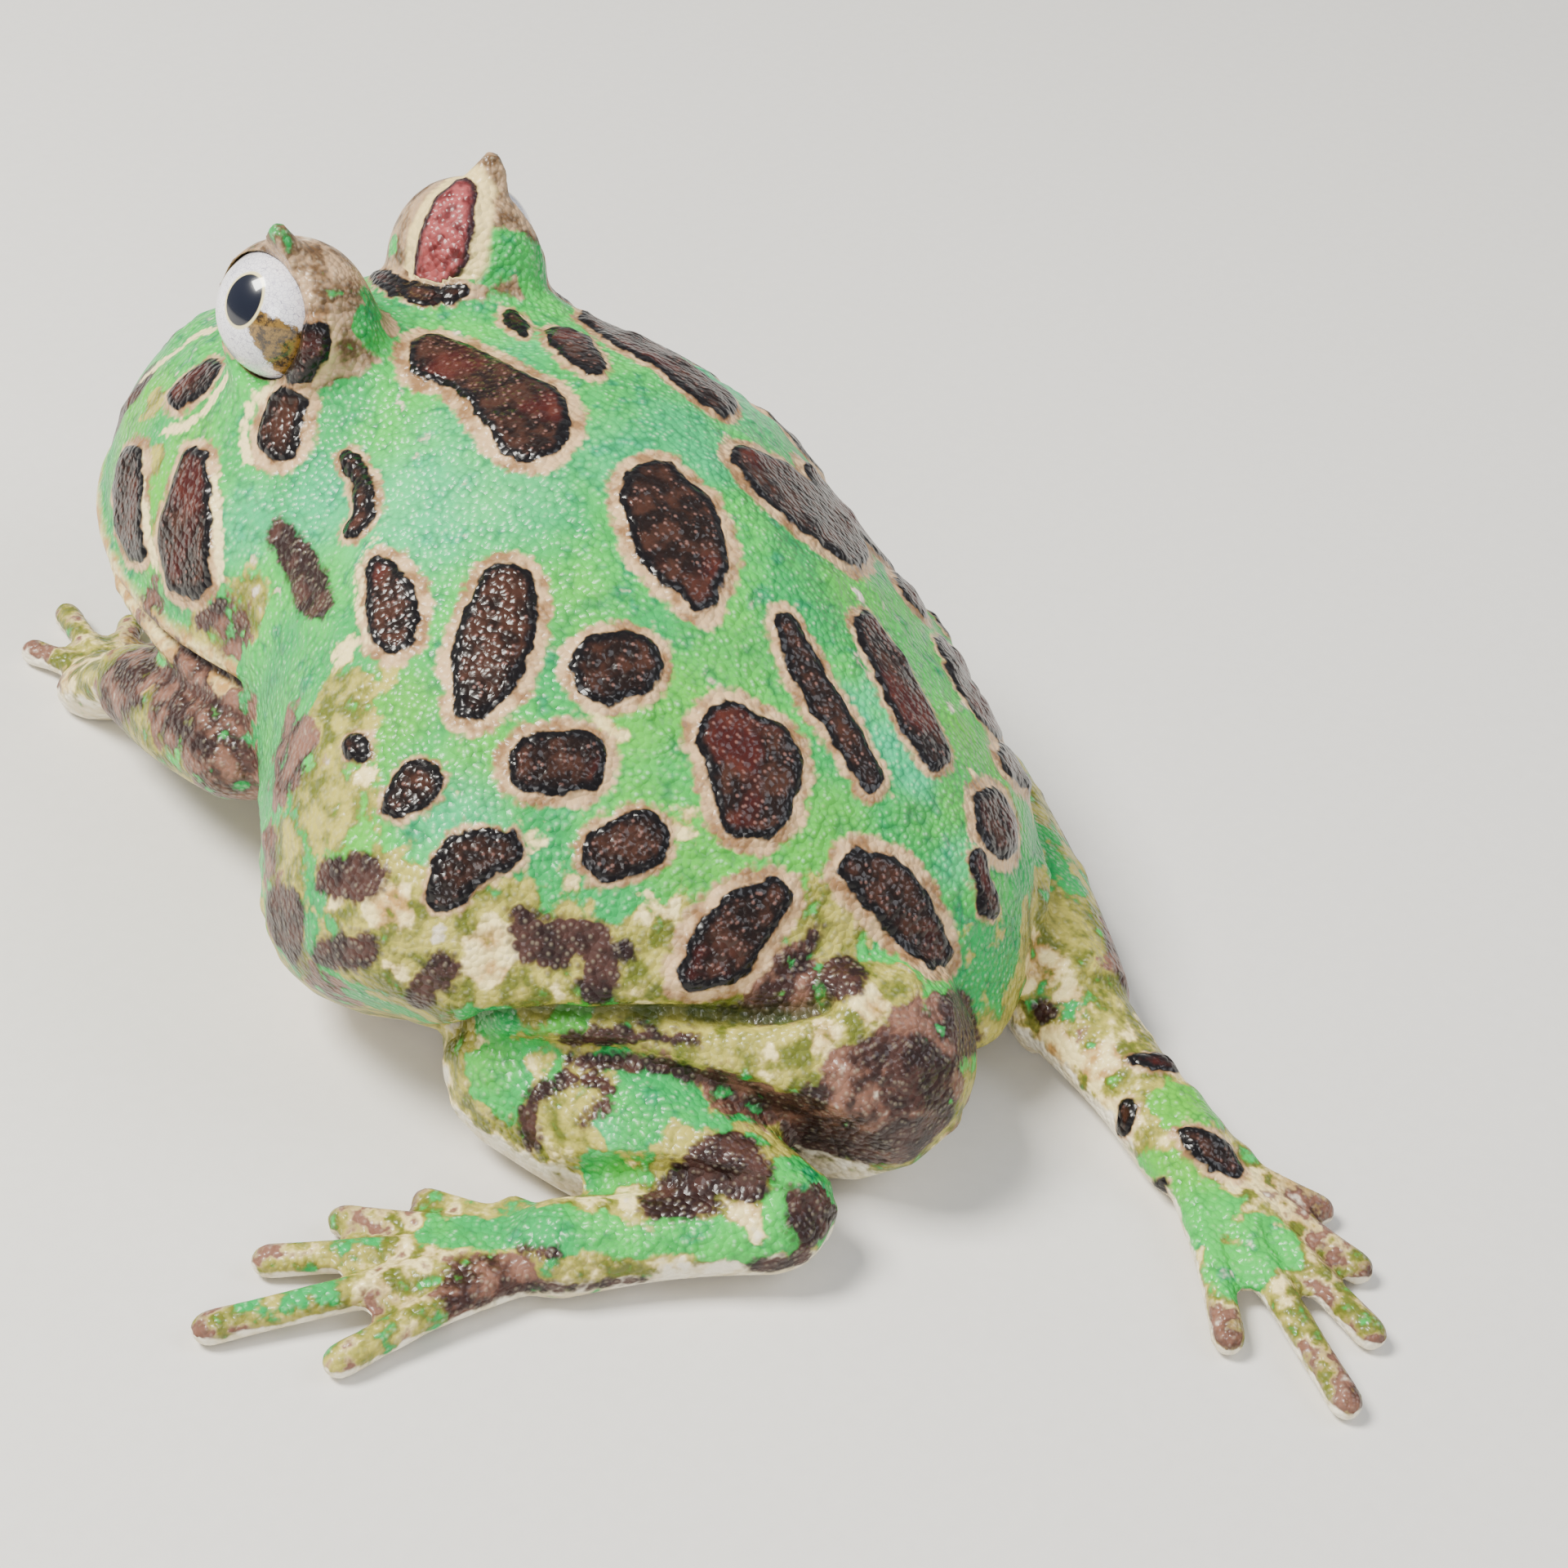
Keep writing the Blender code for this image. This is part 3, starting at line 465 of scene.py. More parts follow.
# Each bar of the snout goes from one place to another on the head, with its half width, in mm.
SNOUT_BARS = (
    ((5.8, -43.0, 27.0), (7.2, -45.5, 21.5), 1.2), ((12.2, -40.5, 25.5), (13.4, -43.0, 19.0), 1.8),
    ((3.6, -36.0, 33.0), (6.0, -34.0, 33.5), 1.1),
)


def distance_to_bar(start, end):
    """Distance in millimetres from every point of the skin to a straight bar."""
    side = end - start
    share = np.clip((points - start) @ side / (side @ side), 0, 1)
    return np.linalg.norm(points - start - share[:, None] * side, axis=1)


mark, ring = distance_to_marks(rings_of(MARKS) + rings_of(LID_FOOT, False))
smudge, _ = distance_to_marks(rings_of({name: (0, *discs) for name, discs in SMUDGES.items()}))
for start, end, width in SNOUT_BARS:
    for first, last in zip(both_sides(start), both_sides(end)):
        ends = [np.array(surface.find_nearest(Vector(place))[0]) for place in (first, last)]
        smudge = np.minimum(smudge, distance_to_bar(*ends) - width)
lid_mark, _ = distance_to_marks(rings_of(LID_MARK, False))
lid_mark = np.where(mark < MARK_EDGE, MARK_REACH, lid_mark)

# Skin: warts and folds
# Low warts are strewn over the back and flanks, and the blotches stand a little proud of the
# hide. A soft fold runs from the corner of the jaw to the arm, and a deep crease parts the left
# flank from the folded thigh.

WARTS = 520
WART_SIZES = (0.55, 1.0)
WART_RISE = 0.24
MARK_RISE = 0.32
EYE_CLEARANCE = 6.0
FAR = 99.0
JAW_FOLD = ((468, 655), (452, 700), (449, 750), (462, 805))
FLANK_CREASE = (
    (548, 1258), (600, 1248), (680, 1243), (780, 1243), (880, 1245), (960, 1240), (1010, 1228),
)

raised = soft_step(np.minimum(mark, lid_mark), 0.5, -0.5)
lift = raised * MARK_RISE
hide = (points[:, 2] > 3.0) & (normals[:, 2] > -0.3)
from_eyes = np.min([np.linalg.norm(points - centre, axis=1) for centre in eye_centres], axis=0)
hide = hide & (from_eyes > EYE_CLEARANCE)
choices = rng.choice(np.flatnonzero(hide), WARTS, replace=False)
for index in choices:
    size = rng.uniform(*WART_SIZES)
    away = np.linalg.norm(points - points[index], axis=1)
    lift = np.maximum(lift, raised * MARK_RISE + hump(away, 0.0, size) * size * WART_RISE)


def along(pixels, mirror=False):
    """Distance in mm from each point of the skin to a line drawn by pixels, or to its mirror image."""
    places = [np.array(seen(x, y)[0]) for x, y in pixels if seen(x, y)[0] is not None]
    if mirror:
        places = [np.array((2 * middle[0] - x, y, z)) for x, y, z in places]
    nearest = np.full(count, FAR)
    for start, end in zip(places, places[1:]):
        nearest = np.minimum(nearest, distance_to_bar(start, end))
    return nearest


lift = lift + hump(along(JAW_FOLD), 0.0, 1.3) * 0.35
from_crease = along(FLANK_CREASE)
lift = lift + hump(from_crease, 1.8, 1.2) * 0.3 - hump(from_crease, 0.0, 0.6) * 1.2
points = points + normals * lift[:, None]
points[:, 2] = np.maximum(points[:, 2], 0.0)

# Skin: the colours' places
# What the hide's colour follows is kept at each point: the distance to the marks, how cream, olive
# or brown the ground is, and where the lids close round the eyeballs. The brown low against the
# floor, the rims round the eyeballs, the flank crease and the mouth line carry painted shade.

DAB_SPREAD = 15

# A dab has its place and size in pixels and its strength from 0 to 1.
# The two cream dabs near 775, 1435 and 745, 1462 pixels, on the shank, are partly the hide's cream and
# partly a painted highlight.
CREAM_PLACES = (
    (395, 500, 22, 0.7), (420, 800, 30, 0.6), (800, 1110, 30, 0.7), (745, 888, 26, 0.6),
    (840, 1012, 26, 0.6), (560, 990, 26, 0.5), (650, 1020, 26, 0.6), (690, 1075, 26, 0.7),
    (480, 1120, 30, 0.7), (400, 1110, 24, 0.6), (600, 1150, 26, 0.6), (598, 1185, 24, 0.8),
    (780, 1225, 26, 0.6), (480, 1190, 20, 0.7), (680, 1215, 20, 0.6), (600, 1270, 20, 0.6),
    (775, 1435, 24, 0.7), (745, 1462, 20, 0.6), (930, 1372, 22, 0.6), (950, 1470, 24, 0.6),
    (915, 1500, 26, 0.7), (940, 1300, 24, 0.6), (1000, 1270, 24, 0.6), (1065, 1235, 24, 0.6),
    (700, 1275, 16, 0.6), (660, 1300, 30, 0.4), (580, 1330, 14, 0.6), (1020, 1330, 20, 0.6),
    (1120, 1250, 20, 0.6), (1345, 1300, 26, 1.0), (1360, 1370, 24, 1.0), (1385, 1430, 22, 1.0),
    (1420, 1480, 24, 1.0), (1270, 1180, 40, 0.8), (1290, 1290, 36, 0.9), (1310, 1230, 30, 0.8),
    (540, 1530, 30, 0.6), (660, 1535, 30, 0.5), (1195, 960, 20, 0.7), (840, 1535, 30, 0.5),
    (450, 950, 20, 0.6), (185, 838, 30, 0.7), (245, 862, 30, 0.7), (310, 892, 30, 0.7), (215, 885, 24, 0.5),
    (285, 925, 24, 0.5),
)
CREAM_LINES = (
    ((143, 483), (177, 462), (208, 437), (238, 412), (262, 403)),
    ((202, 527), (231, 521), (250, 502), (269, 475), (277, 464)),
    ((173, 560), (178, 609), (182, 655), (190, 690)),
    ((264, 586), (265, 625), (270, 670), (270, 705)),
    ((334, 472), (307, 495), (298, 533), (303, 563)),
    ((464, 663), (445, 705), (445, 747), (456, 793)),
)
LIME_PLACES = (
    (170, 500, 60, 0.8), (150, 570, 50, 0.8), (200, 600, 50, 0.8), (190, 660, 50, 0.7), (230, 540, 40, 0.6),
    (860, 1060, 60, 0.7), (780, 1000, 50, 0.5), (830, 860, 50, 0.6), (690, 740, 50, 0.4),
    (600, 930, 50, 0.5), (780, 880, 50, 0.6), (1010, 1010, 50, 0.6), (1000, 1060, 50, 0.7),
    (1180, 900, 40, 0.7), (1230, 940, 40, 0.7), (1410, 1330, 50, 1.0), (1450, 1400, 50, 1.0),
    (1440, 1350, 50, 1.0), (1430, 1460, 40, 0.7), (700, 1250, 40, 0.8), (480, 870, 50, 0.8),
    (440, 930, 50, 0.7), (1120, 1000, 30, 0.3), (870, 480, 60, 0.3), (760, 1430, 30, 0.5),
    (900, 800, 60, 0.4), (420, 1010, 50, 0.8), (600, 1300, 30, 0.5), (250, 800, 40, 0.8),
)
# Aqua dabs tint the hide bluish green. The three narrow ones between the two back stripes, from 850 to 950
# pixels down, are a painted sheen.
AQUA_PLACES = (
    (520, 620, 90, 0.8), (600, 600, 80, 0.6), (560, 540, 60, 0.5), (400, 620, 60, 0.7), (300, 640, 50, 0.6),
    (1075, 850, 26, 0.9), (1100, 900, 28, 1.0), (1120, 950, 26, 0.9), (1170, 1060, 26, 0.7),
    (560, 1010, 50, 0.6), (760, 560, 60, 0.4), (860, 560, 40, 0.5), (700, 950, 40, 0.4),
    (660, 420, 40, 0.4), (720, 1400, 30, 0.5),
)
OLIVE_PLACES = (
    (520, 1190, 90, 1.0), (650, 1215, 80, 1.0), (800, 1200, 90, 1.0), (930, 1225, 70, 1.0),
    (1010, 1130, 50, 0.9), (1060, 1230, 60, 0.9), (450, 1140, 80, 0.9), (400, 1040, 50, 0.7),
    (640, 1275, 44, 0.7), (720, 1260, 60, 0.9), (850, 1260, 70, 1.0), (960, 1280, 70, 1.0),
    (420, 860, 50, 0.9), (470, 830, 30, 0.6), (185, 500, 30, 0.7), (190, 560, 24, 0.8), (195, 640, 24, 0.8),
    (300, 745, 40, 0.7), (1400, 1330, 40, 0.9), (1280, 1150, 80, 0.9), (430, 980, 50, 0.7),
    (250, 790, 50, 0.9), (380, 1000, 60, 0.9), (350, 1060, 60, 1.0), (1190, 1160, 30, 0.6),
    (330, 1140, 70, 1.0), (370, 1180, 50, 0.9), (1300, 1210, 60, 0.8), (700, 1375, 24, 0.7),
    (760, 1500, 40, 0.6), (560, 1130, 60, 1.0), (420, 900, 50, 0.8), (690, 1340, 24, 0.6),
    (640, 1110, 40, 0.8), (700, 1120, 40, 0.7),
)
# Brown dabs mark the hide's brown parts. The four along the underside of the left foot, from 1570 to 1595
# pixels down, are painted shade under the foot.
BROWN_PLACES = (
    (350, 930, 60, 0.8), (280, 900, 70, 0.8), (220, 850, 70, 0.8), (150, 830, 70, 0.8), (290, 960, 60, 0.9),
    (1130, 1330, 60, 1.0), (1060, 1400, 50, 1.0), (980, 1400, 44, 0.8), (1170, 1260, 40, 0.9),
    (340, 1120, 46, 0.8), (330, 1190, 60, 1.0), (400, 1210, 50, 0.8), (800, 1310, 34, 0.7),
    (900, 1335, 40, 0.8), (640, 1430, 40, 0.8), (600, 1595, 60, 1.0), (700, 1595, 60, 1.0),
    (800, 1590, 60, 1.0), (940, 1570, 50, 1.0), (1500, 1560, 40, 0.6), (280, 770, 46, 0.7),
    (1240, 1270, 36, 0.8), (1330, 1260, 22, 0.5), (190, 740, 40, 0.6), (330, 1050, 40, 0.7),
    (1060, 1340, 50, 0.9), (1000, 1360, 44, 0.9), (1130, 1290, 50, 0.9), (960, 1205, 44, 1.0),
    (930, 1350, 30, 0.9), (620, 1430, 30, 0.9), (600, 1400, 20, 0.7),
)
GREEN_PLACES = (
    (625, 310, 26, 1.0), (590, 325, 22, 1.0), (652, 330, 24, 1.0), (480, 300, 14, 0.8), (443, 400, 14, 0.9),
    (1450, 1350, 34, 0.9), (1430, 1450, 34, 0.9), (1480, 1480, 34, 0.9), (1550, 1520, 34, 0.9),
    (610, 1320, 30, 0.9), (770, 1370, 30, 1.0), (740, 1430, 26, 0.8), (990, 1450, 30, 1.0),
    (960, 1490, 26, 0.8), (830, 1345, 22, 0.9), (600, 1250, 26, 0.8), (700, 1247, 18, 0.9),
    (1190, 1080, 30, 0.8), (1240, 960, 30, 0.8), (1005, 1490, 26, 0.8),
)
FOOT_BAND = ((540, 1508), (640, 1502), (740, 1508), (840, 1516), (930, 1524), (985, 1505))


def dabs(places):
    """Soft round dabs on the skin, each at a pixel of the picture and again on the other side."""
    strength = np.zeros(count)
    for x, y, size, share in places:
        place, _ = seen(x, y)
        if place is None:
            continue
        for spot in (np.array(place), np.array((2 * middle[0] - place.x, place.y, place.z))):
            away = np.linalg.norm(points - spot, axis=1)
            strength = np.maximum(strength, share * np.exp(-(away / (size / DAB_SPREAD))**4))
    return strength


normals = outward()
low_side = soft_step(points[:, 2], 16.0, 5.0)
foot_band = np.min([along(FOOT_BAND, mirror) for mirror in (False, True)], axis=0)
fresh = np.maximum(dabs(GREEN_PLACES), 0.7 * np.exp(-(foot_band / 1.5)**4))
cream = np.maximum(dabs(CREAM_PLACES), 0.5 * soft_step(points[:, 2], 9.0, 3.0)) - 0.6 * fresh
chin = soft_step(from_mouth, -1.5, -3.5) * at_mouth
olive = np.maximum(np.maximum(dabs(OLIVE_PLACES), 0.8 * low_side), 0.9 * chin) - fresh
# Brown also rises over the lowest 4 mm of the sides, as painted shade where the hide meets the floor.
brown = np.maximum(dabs(BROWN_PLACES), 0.5 * soft_step(points[:, 2], 4.0, 1.5)) - fresh
lime = dabs(LIME_PLACES)
aqua = dabs(AQUA_PLACES)
cream_line = np.min([along(line, mirror) for line in CREAM_LINES for mirror in (False, True)], axis=0)
mouth = np.where(at_mouth > 0.5, np.abs(from_mouth), 9.0)
belly = soft_step(points[:, 2], 7.0, 1.0) * soft_step(normals[:, 2], 0.45, -0.35)
from_eye, from_lid = (
    np.min([np.linalg.norm(points - centre, axis=1) for centre in centres], axis=0)
    for centres in (eye_centres, lid_centres)
)
lid = np.maximum(soft_step(from_lid, 7.6, 6.2), soft_step(points[:, 2], 38.0, 39.0))
lid = lid * soft_step(points[:, 2], 31.0, 34.0) - 1.2 * fresh
socket_shade = soft_step(from_eye, 5.0, 4.6)
fields = {
    "mark": mark, "ring": ring, "smudge": smudge, "lid_mark": lid_mark, "cream": cream, "olive": olive,
    "brown": brown, "belly": belly, "lid": lid, "socket_shade": socket_shade, "crease": from_crease, "lime": lime,
    "aqua": aqua, "cream_line": cream_line, "mouth": mouth,
}
for name, values in fields.items():
    attribute = skin.data.attributes.new(name, "FLOAT", "POINT")
    attribute.data.foreach_set("value", values)
skin.data.update()
for polygon in skin.data.polygons:
    polygon.use_smooth = True

# Skin: the material
# Frog hide, thin and wet over fine granules. The moisture gives each granule its own small
# highlight, and the dye runs from mint green to cream and tan. Pale granule tops are painted
# highlights, and the hollows between granules, the flank crease, the sockets and the mouth line get painted
# shade.

# Grains are in mm. The finest granules are about a quarter of a millimetre wide in life, which is
# too fine to show, so they are drawn at half a millimetre.
GRANULE = 0.5
BEAD = 0.66
EDGE_GRAIN = 1.1
SPECKLE = 1.6
MOTTLE = 7.0
RELIEF_HEIGHT = 0.22 * MM


def linear(code):
    """Linear colour of an sRGB hex value."""
    channels = [int(code[k:k + 2], 16) / 255 for k in (0, 2, 4)]
    return (*[((c + 0.055) / 1.055)**2.4 if c > 0.04 else c / 12.92 for c in channels], 1.0)


def add(kind, sockets=(), **settings):
    """Add a shader node with its own settings, and give its sockets numbers, hex colours or links."""
    made = tree.nodes.new(kind)
    for key, value in settings.items():
        setattr(made, key, value)
    for key, value in dict(sockets).items():
        if isinstance(value, bpy.types.NodeSocket):
            tree.links.new(value, made.inputs[key])
        else:
            made.inputs[key].default_value = linear(value) if isinstance(value, str) else value
    return made.outputs


def lay(ground, dye, value, start, end, depth=1.0, slope="SMOOTHSTEP"):
    """Lay a dye over the ground, from none at the value's start to a given depth at its end."""
    range_sockets = {0: value, 1: start, 2: end, 3: 0.0, 4: depth}
    share = add("ShaderNodeMapRange", range_sockets, interpolation_type=slope)[0]
    return add("ShaderNodeMix", {0: share, 6: ground, 7: dye}, data_type="RGBA")[2]


def stray(*patterns):
    """How far in mm an edge strays, from patterns around their middle and the reach of each."""
    total = -0.5 * sum(reach for _, reach in patterns)
    for pattern, reach in patterns:
        total = add("ShaderNodeMath", {0: pattern, 1: reach, 2: total}, operation="MULTIPLY_ADD")[0]
    return total


hide_look = bpy.data.materials.new("moist_frog_hide")
hide_look.use_nodes = True
tree = hide_look.node_tree
shader = tree.nodes["Principled BSDF"]
place = add("ShaderNodeTexCoord")["Object"]
edge_noise = add("ShaderNodeTexNoise", {"Vector": place, "Scale": 1000 / EDGE_GRAIN, "Detail": 2.0})[0]
mottle = add("ShaderNodeTexNoise", {"Vector": place, "Scale": 1000 / MOTTLE, "Detail": 3.0})[0]
speckle = add("ShaderNodeTexNoise", {"Vector": place, "Scale": 1000 / SPECKLE, "Detail": 3.0})[0]
granules = add("ShaderNodeTexVoronoi", {"Vector": place, "Scale": 1000 / GRANULE})[0]
beads = add("ShaderNodeTexVoronoi", {"Vector": place, "Scale": 1000 / BEAD})[0]
kept = {name: add("ShaderNodeAttribute", attribute_name=name)["Fac"] for name in fields}

waver = stray((edge_noise, 1.0))
fringe = stray((edge_noise, 1.0), (granules, 0.55))
drift = stray((mottle, 1.5), (speckle, 1.7))
strays = {
    "mark": waver, "lid_mark": waver, "ring": fringe, "smudge": fringe, "cream_line": fringe, "mouth": drift,
    "olive": drift, "cream": drift, "brown": drift, "lid": drift, "belly": drift,
}
edge = {}
for name, reach in strays.items():
    edge[name] = add("ShaderNodeMath", {0: kept[name], 1: reach}, operation="ADD")[0]

# The ground colours, each from one dye to another by a pattern.
green = lay("0FA04C", "3CBE44", mottle, 0.36, 0.64)
green = lay(green, "0C9158", speckle, 0.54, 0.7)
green = lay(green, "62B81E", kept["lime"], 0.0, 1.0, 0.8, "LINEAR")
green = lay(green, "2CCB92", kept["aqua"], 0.0, 1.0, 0.6, "LINEAR")
# Dark green in the hollows between the granules is painted shade, and pale mint on their tops is a painted
# highlight.
hollow_shade = lay(green, "07562A", granules, 0.4, 0.75, 0.5)
green = lay(green, hollow_shade, speckle, 0.36, 0.62)
top_highlights = lay(green, "8CEBA8", granules, 0.35, 0.1, 0.4)
green = lay(green, top_highlights, edge_noise, 0.4, 0.6)
olive_ground = lay("5E6420", "B3A84E", speckle, 0.38, 0.62)
cream_ground = lay("B48A4E", "F5E09C", speckle, 0.38, 0.62)
brown_ground = lay("2E1A16", "7E5848", speckle, 0.4, 0.66)
lid_ground = lay("5C442C", "B29270", speckle, 0.38, 0.6)
belly_ground = lay("D9CBA6", "EFE6CF", speckle, 0.4, 0.6)
smudge_ground = lay("241412", "442B25", speckle, 0.4, 0.62)
ring_ground = lay("8C6844", "CFAB7F", speckle, 0.36, 0.6)
heart_ground = lay("190E0B", "3B231A", speckle, 0.42, 0.62)
heart_ground = lay(heart_ground, "6B211E", mottle, 0.54, 0.64, 0.25)
# Pale tops on the granules in the hearts of the marks are painted glints.
heart_ground = lay(heart_ground, "86625A", granules, 0.35, 0.1, 0.6)
lid_heart = lay("5C2123", "9C4B4C", edge_noise, 0.38, 0.6)

# The hide, laid up from the green ground to the marks, then painted shade in the sockets and along the line
# of the mouth.
ground = lay(green, olive_ground, edge["olive"], 0.38, 0.6)
ground = lay(ground, cream_ground, edge["cream"], 0.42, 0.64)
ground = lay(ground, cream_ground, edge["mouth"], 2.2, 1.2)
ground = lay(ground, brown_ground, edge["brown"], 0.4, 0.62)
ground = lay(ground, lid_ground, edge["lid"], 0.45, 0.7)
ground = lay(ground, belly_ground, edge["belly"], 0.35, 0.65)
ground = lay(ground, smudge_ground, edge["smudge"], 0.3, -0.3)
ground = lay(ground, ring_ground, edge["ring"], 0.25, -0.25)
ground = lay(ground, "F3DDA0", edge["cream_line"], 0.65, 0.25)
# Faint near-white centres on the granules are painted highlights.
ground = lay(ground, "FFF3D0", granules, 0.4, 0.1, 0.1)
# A dark olive line along the flank crease is painted shade in the crease.
ground = lay(ground, "33401F", kept["crease"], 0.9, 0.15, 0.75)
ground = lay(ground, "0D090B", edge["mark"], 0.15, -0.08)
ground = lay(ground, heart_ground, edge["mark"], -0.35, -0.8)
ground = lay(ground, "E9CF8E", edge["lid_mark"], 1.4, 0.8)
ground = lay(ground, "2E171B", edge["lid_mark"], 0.15, -0.1)
ground = lay(ground, lid_heart, edge["lid_mark"], -0.2, -0.6)
# A dark olive-brown rim where the lids close round the eyeballs is painted shade in the gap between lid and
# eyeball.
ground = lay(ground, "6B5A35", kept["socket_shade"], 0.55, 1.0)
# A dark line along the mouth is painted shade in the groove between the lips.
ground = lay(ground, "2A1A18", kept["mouth"], 0.55, 0.2)

# The hide is evenly granular. A mark has large beads round its rim and finer ones in its heart,
# and it is a little wetter than the hide.
smooth = {"interpolation_type": "SMOOTHSTEP"}
in_mark = add("ShaderNodeMapRange", {0: edge["mark"], 1: 0.25, 2: -0.15}, **smooth)[0]
in_heart = add("ShaderNodeMapRange", {0: edge["mark"], 1: -0.4, 2: -0.9}, **smooth)[0]
wetness = add("ShaderNodeMapRange", {0: edge["mark"], 1: 0.25, 2: -0.15, 3: 0.42, 4: 0.3}, **smooth)[0]
hide_relief = add("ShaderNodeMath", {0: granules, 1: -0.8}, operation="MULTIPLY")[0]
rim_relief = add("ShaderNodeMath", {0: beads, 1: -0.9}, operation="MULTIPLY")[0]
fine_relief = add("ShaderNodeMath", {0: granules, 1: -0.7}, operation="MULTIPLY")[0]
heart_relief = add("ShaderNodeMath", {0: beads, 1: -0.2, 2: fine_relief}, operation="MULTIPLY_ADD")[0]
mark_relief = add("ShaderNodeMix", {0: in_heart, 2: rim_relief, 3: heart_relief}, data_type="FLOAT")[0]
relief = add("ShaderNodeMix", {0: in_mark, 2: hide_relief, 3: mark_relief}, data_type="FLOAT")[0]
height = add("ShaderNodeMath", {0: edge_noise, 1: 0.35, 2: relief}, operation="MULTIPLY_ADD")[0]
bump = add("ShaderNodeBump", {"Height": height, "Strength": 1.0, "Distance": RELIEF_HEIGHT})[0]
tree.links.new(ground, shader.inputs["Base Color"])
tree.links.new(wetness, shader.inputs["Roughness"])
tree.links.new(bump, shader.inputs["Normal"])
tree.links.new(bump, shader.inputs["Coat Normal"])
shader.inputs["IOR"].default_value = 1.36
shader.inputs["Specular IOR Level"].default_value = 0.36
shader.inputs["Coat Weight"].default_value = 0.26
shader.inputs["Coat Roughness"].default_value = 0.15
skin.data.materials.append(hide_look)
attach(skin, "root")
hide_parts(*FLESH)

# Eyes
# Each eyeball is a wet, polished ball that bulges a little over the iris. The iris is
# whitish lilac with fine grey veins and a golden-brown field towards the rear, and the pupil is
# a blue-black, nearly round well.

GAZE = Vector((0.85, 0.10, 0.517)).normalized()
PUPIL_WIDTH = 2.65
PUPIL_HEIGHT = 3.5
CORNEA_RISE = 0.25
CORNEA_EDGE = 0.55
REAR_FIELD_TURN = 0.55

eye_look = bpy.data.materials.new("polished_eyeball")
eye_look.use_nodes = True
tree = eye_look.node_tree
shader = tree.nodes["Principled BSDF"]
own = add("ShaderNodeAttribute", attribute_name="eye_place")["Vector"]
to_oval = (2 / PUPIL_WIDTH, 2 / PUPIL_HEIGHT, 0.0)
oval = add("ShaderNodeVectorMath", {0: own, 1: to_oval}, operation="MULTIPLY")[0]
from_pupil = add("ShaderNodeVectorMath", {0: oval}, operation="LENGTH")["Value"]
ways = add("ShaderNodeSeparateXYZ", {0: own})
angle = add("ShaderNodeMath", {0: ways[1], 1: ways[0]}, operation="ARCTAN2")[0]
turned = add("ShaderNodeMath", {0: angle, 1: REAR_FIELD_TURN}, operation="ADD")[0]
from_field = add("ShaderNodeMath", {0: turned}, operation="ABSOLUTE")[0]
veins = add("ShaderNodeTexNoise", {"Vector": own, "Scale": 2.4, "Detail": 8.0, "Roughness": 0.75})[0]
fibres = add("ShaderNodeTexVoronoi", {"Vector": own, "Scale": 3.2}, feature="DISTANCE_TO_EDGE")[0]
field = add("ShaderNodeMath", {0: veins, 1: 0.5, 2: from_field}, operation="MULTIPLY_ADD")[0]
iris = lay("F3F0F6", "C9C3D2", veins, 0.5, 0.68)
iris = lay(iris, "9D97AC", fibres, 0.05, 0.0)
golden = lay("8C6A2E", "2F2212", veins, 0.42, 0.6)
iris = lay(iris, golden, field, 0.75, 0.67)
iris = lay(iris, "E8D9A0", from_pupil, 1.16, 1.08)
eye_colour = lay(iris, "0B1020", from_pupil, 1.03, 0.97)
tree.links.new(eye_colour, shader.inputs["Base Color"])
shader.inputs["Roughness"].default_value = 0.22
shader.inputs["IOR"].default_value = 1.38
shader.inputs["Coat Weight"].default_value = 1.0
shader.inputs["Coat Roughness"].default_value = 0.02

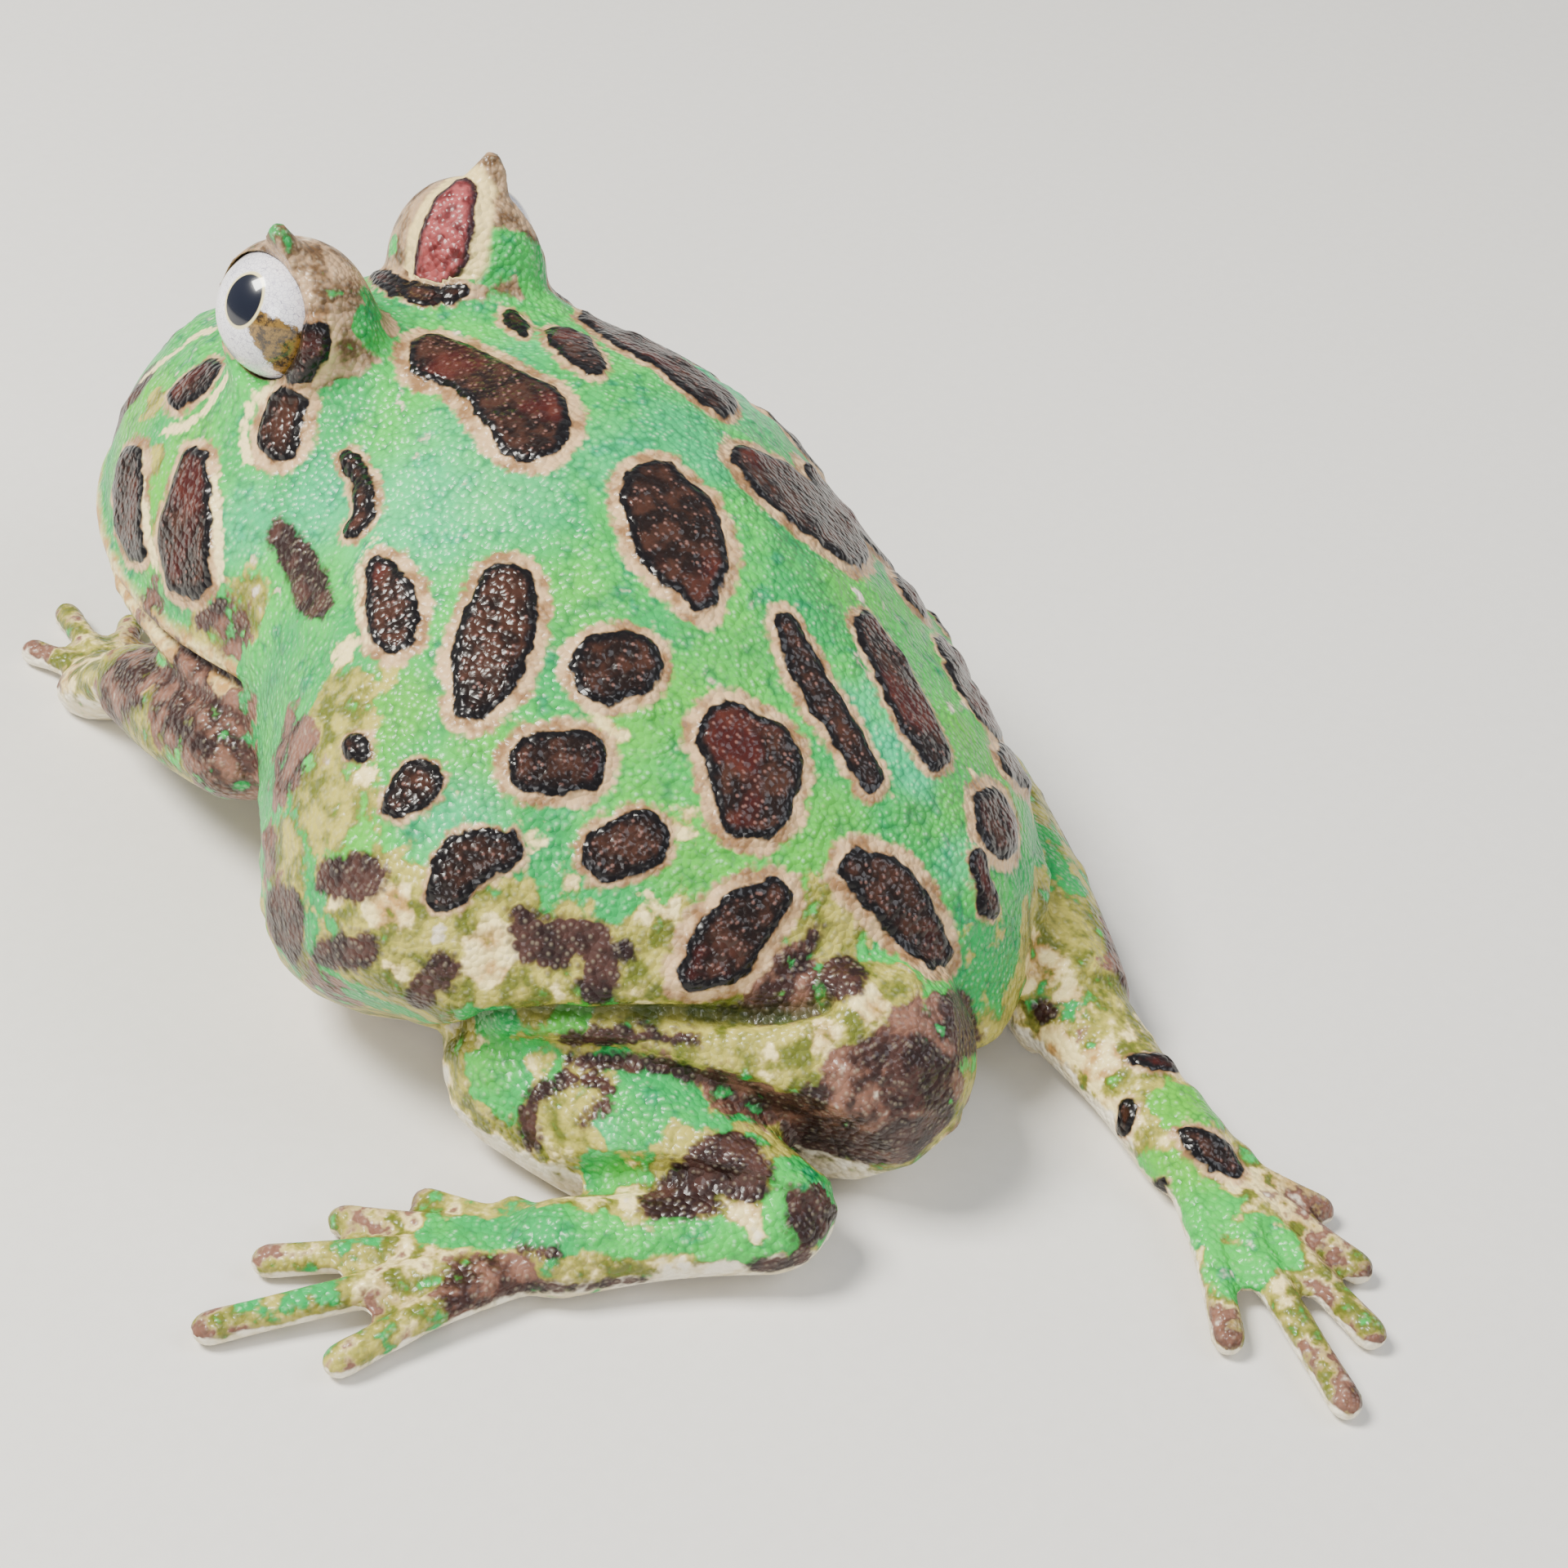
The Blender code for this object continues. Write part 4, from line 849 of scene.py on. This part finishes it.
for label, side, centre in (("left", 1, eye_centres[0]), ("right", -1, eye_centres[1])):
    gaze = Vector((GAZE.x * side, GAZE.y, GAZE.z))
    rearward = UP.cross(gaze).normalized() * side
    upward = gaze.cross(rearward) * side
    bpy.ops.object.select_all(action="DESELECT")
    bpy.ops.mesh.primitive_uv_sphere_add(segments=64, ring_count=40, radius=EYE_RADIUS * MM)
    eye = bpy.context.view_layer.objects.active
    eye.name = "eyeball_" + label
    turn = UP.rotation_difference(gaze).to_matrix().to_4x4()
    eye.data.transform(turn)
    for vert in eye.data.vertices:
        out = vert.co.normalized()
        share = min(max((out.dot(gaze) - CORNEA_EDGE) / (1 - CORNEA_EDGE), 0.0), 1.0)
        vert.co += gaze * CORNEA_RISE * MM * share * share * (3 - 2 * share)
    own_places = []
    for vert in eye.data.vertices:
        own_places += [vert.co.dot(rearward) / MM, vert.co.dot(upward) / MM, vert.co.dot(gaze) / MM]
    attribute = eye.data.attributes.new("eye_place", "FLOAT_VECTOR", "POINT")
    attribute.data.foreach_set("vector", own_places)
    eye.data.transform(Matrix.Translation(Vector(centre) * MM))
    for polygon in eye.data.polygons:
        polygon.use_smooth = True
    eye.data.materials.append(eye_look)
    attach(eye, "root")
    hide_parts("eye_" + label)

# Floor and light
# A plain studio floor of matt paper, whose faint fibres keep it from looking like plastic. A
# broad soft lamp stands above the frog's left side and two weaker ones behind it.

bpy.ops.object.select_all(action="DESELECT")
bpy.ops.mesh.primitive_plane_add(size=3.0, location=(0.0, 0.0, 0.0))
floor = bpy.context.view_layer.objects.active
floor.name = "floor"
paper = bpy.data.materials.new("pale_studio_paper")
paper.use_nodes = True
tree = paper.node_tree
shader = tree.nodes["Principled BSDF"]
place = add("ShaderNodeTexCoord")["Object"]
fibre = add("ShaderNodeTexNoise", {"Vector": place, "Scale": 900.0, "Detail": 3.0})[0]
tree.links.new(lay("D9D6D0", "E0DDD8", fibre, 0.0, 1.0, 1.0, "LINEAR"), shader.inputs["Base Color"])
shader.inputs["Roughness"].default_value = 0.85
floor.data.materials.append(paper)


def soft_lamp(name, place, size, power, colour):
    """A square lamp that shines at the frog's middle."""
    data = bpy.data.lights.new(name, "AREA")
    data.size = size
    data.energy = power
    data.color = linear(colour)[:3]
    lamp = bpy.data.objects.new(name, data)
    way = Vector(place) - VIEW_TARGET
    lamp.matrix_world = Matrix.Translation(place) @ way.to_track_quat("Z", "Y").to_matrix().to_4x4()
    bpy.context.scene.collection.objects.link(lamp)


soft_lamp("key_lamp", (0.25, -0.20, 0.50), 0.20, 7.6, "FFFCF4")
soft_lamp("rear_lamp", (-0.30, 0.35, 0.45), 0.35, 1.6, "F4F8FF")
soft_lamp("side_lamp", (0.45, 0.35, 0.30), 0.25, 1.6, "FFFFFF")
world = bpy.data.worlds.new("room")
bpy.context.scene.world = world
world.use_nodes = True
world.node_tree.nodes["Background"].inputs[0].default_value = linear("E8ECF0")
world.node_tree.nodes["Background"].inputs[1].default_value = 0.5
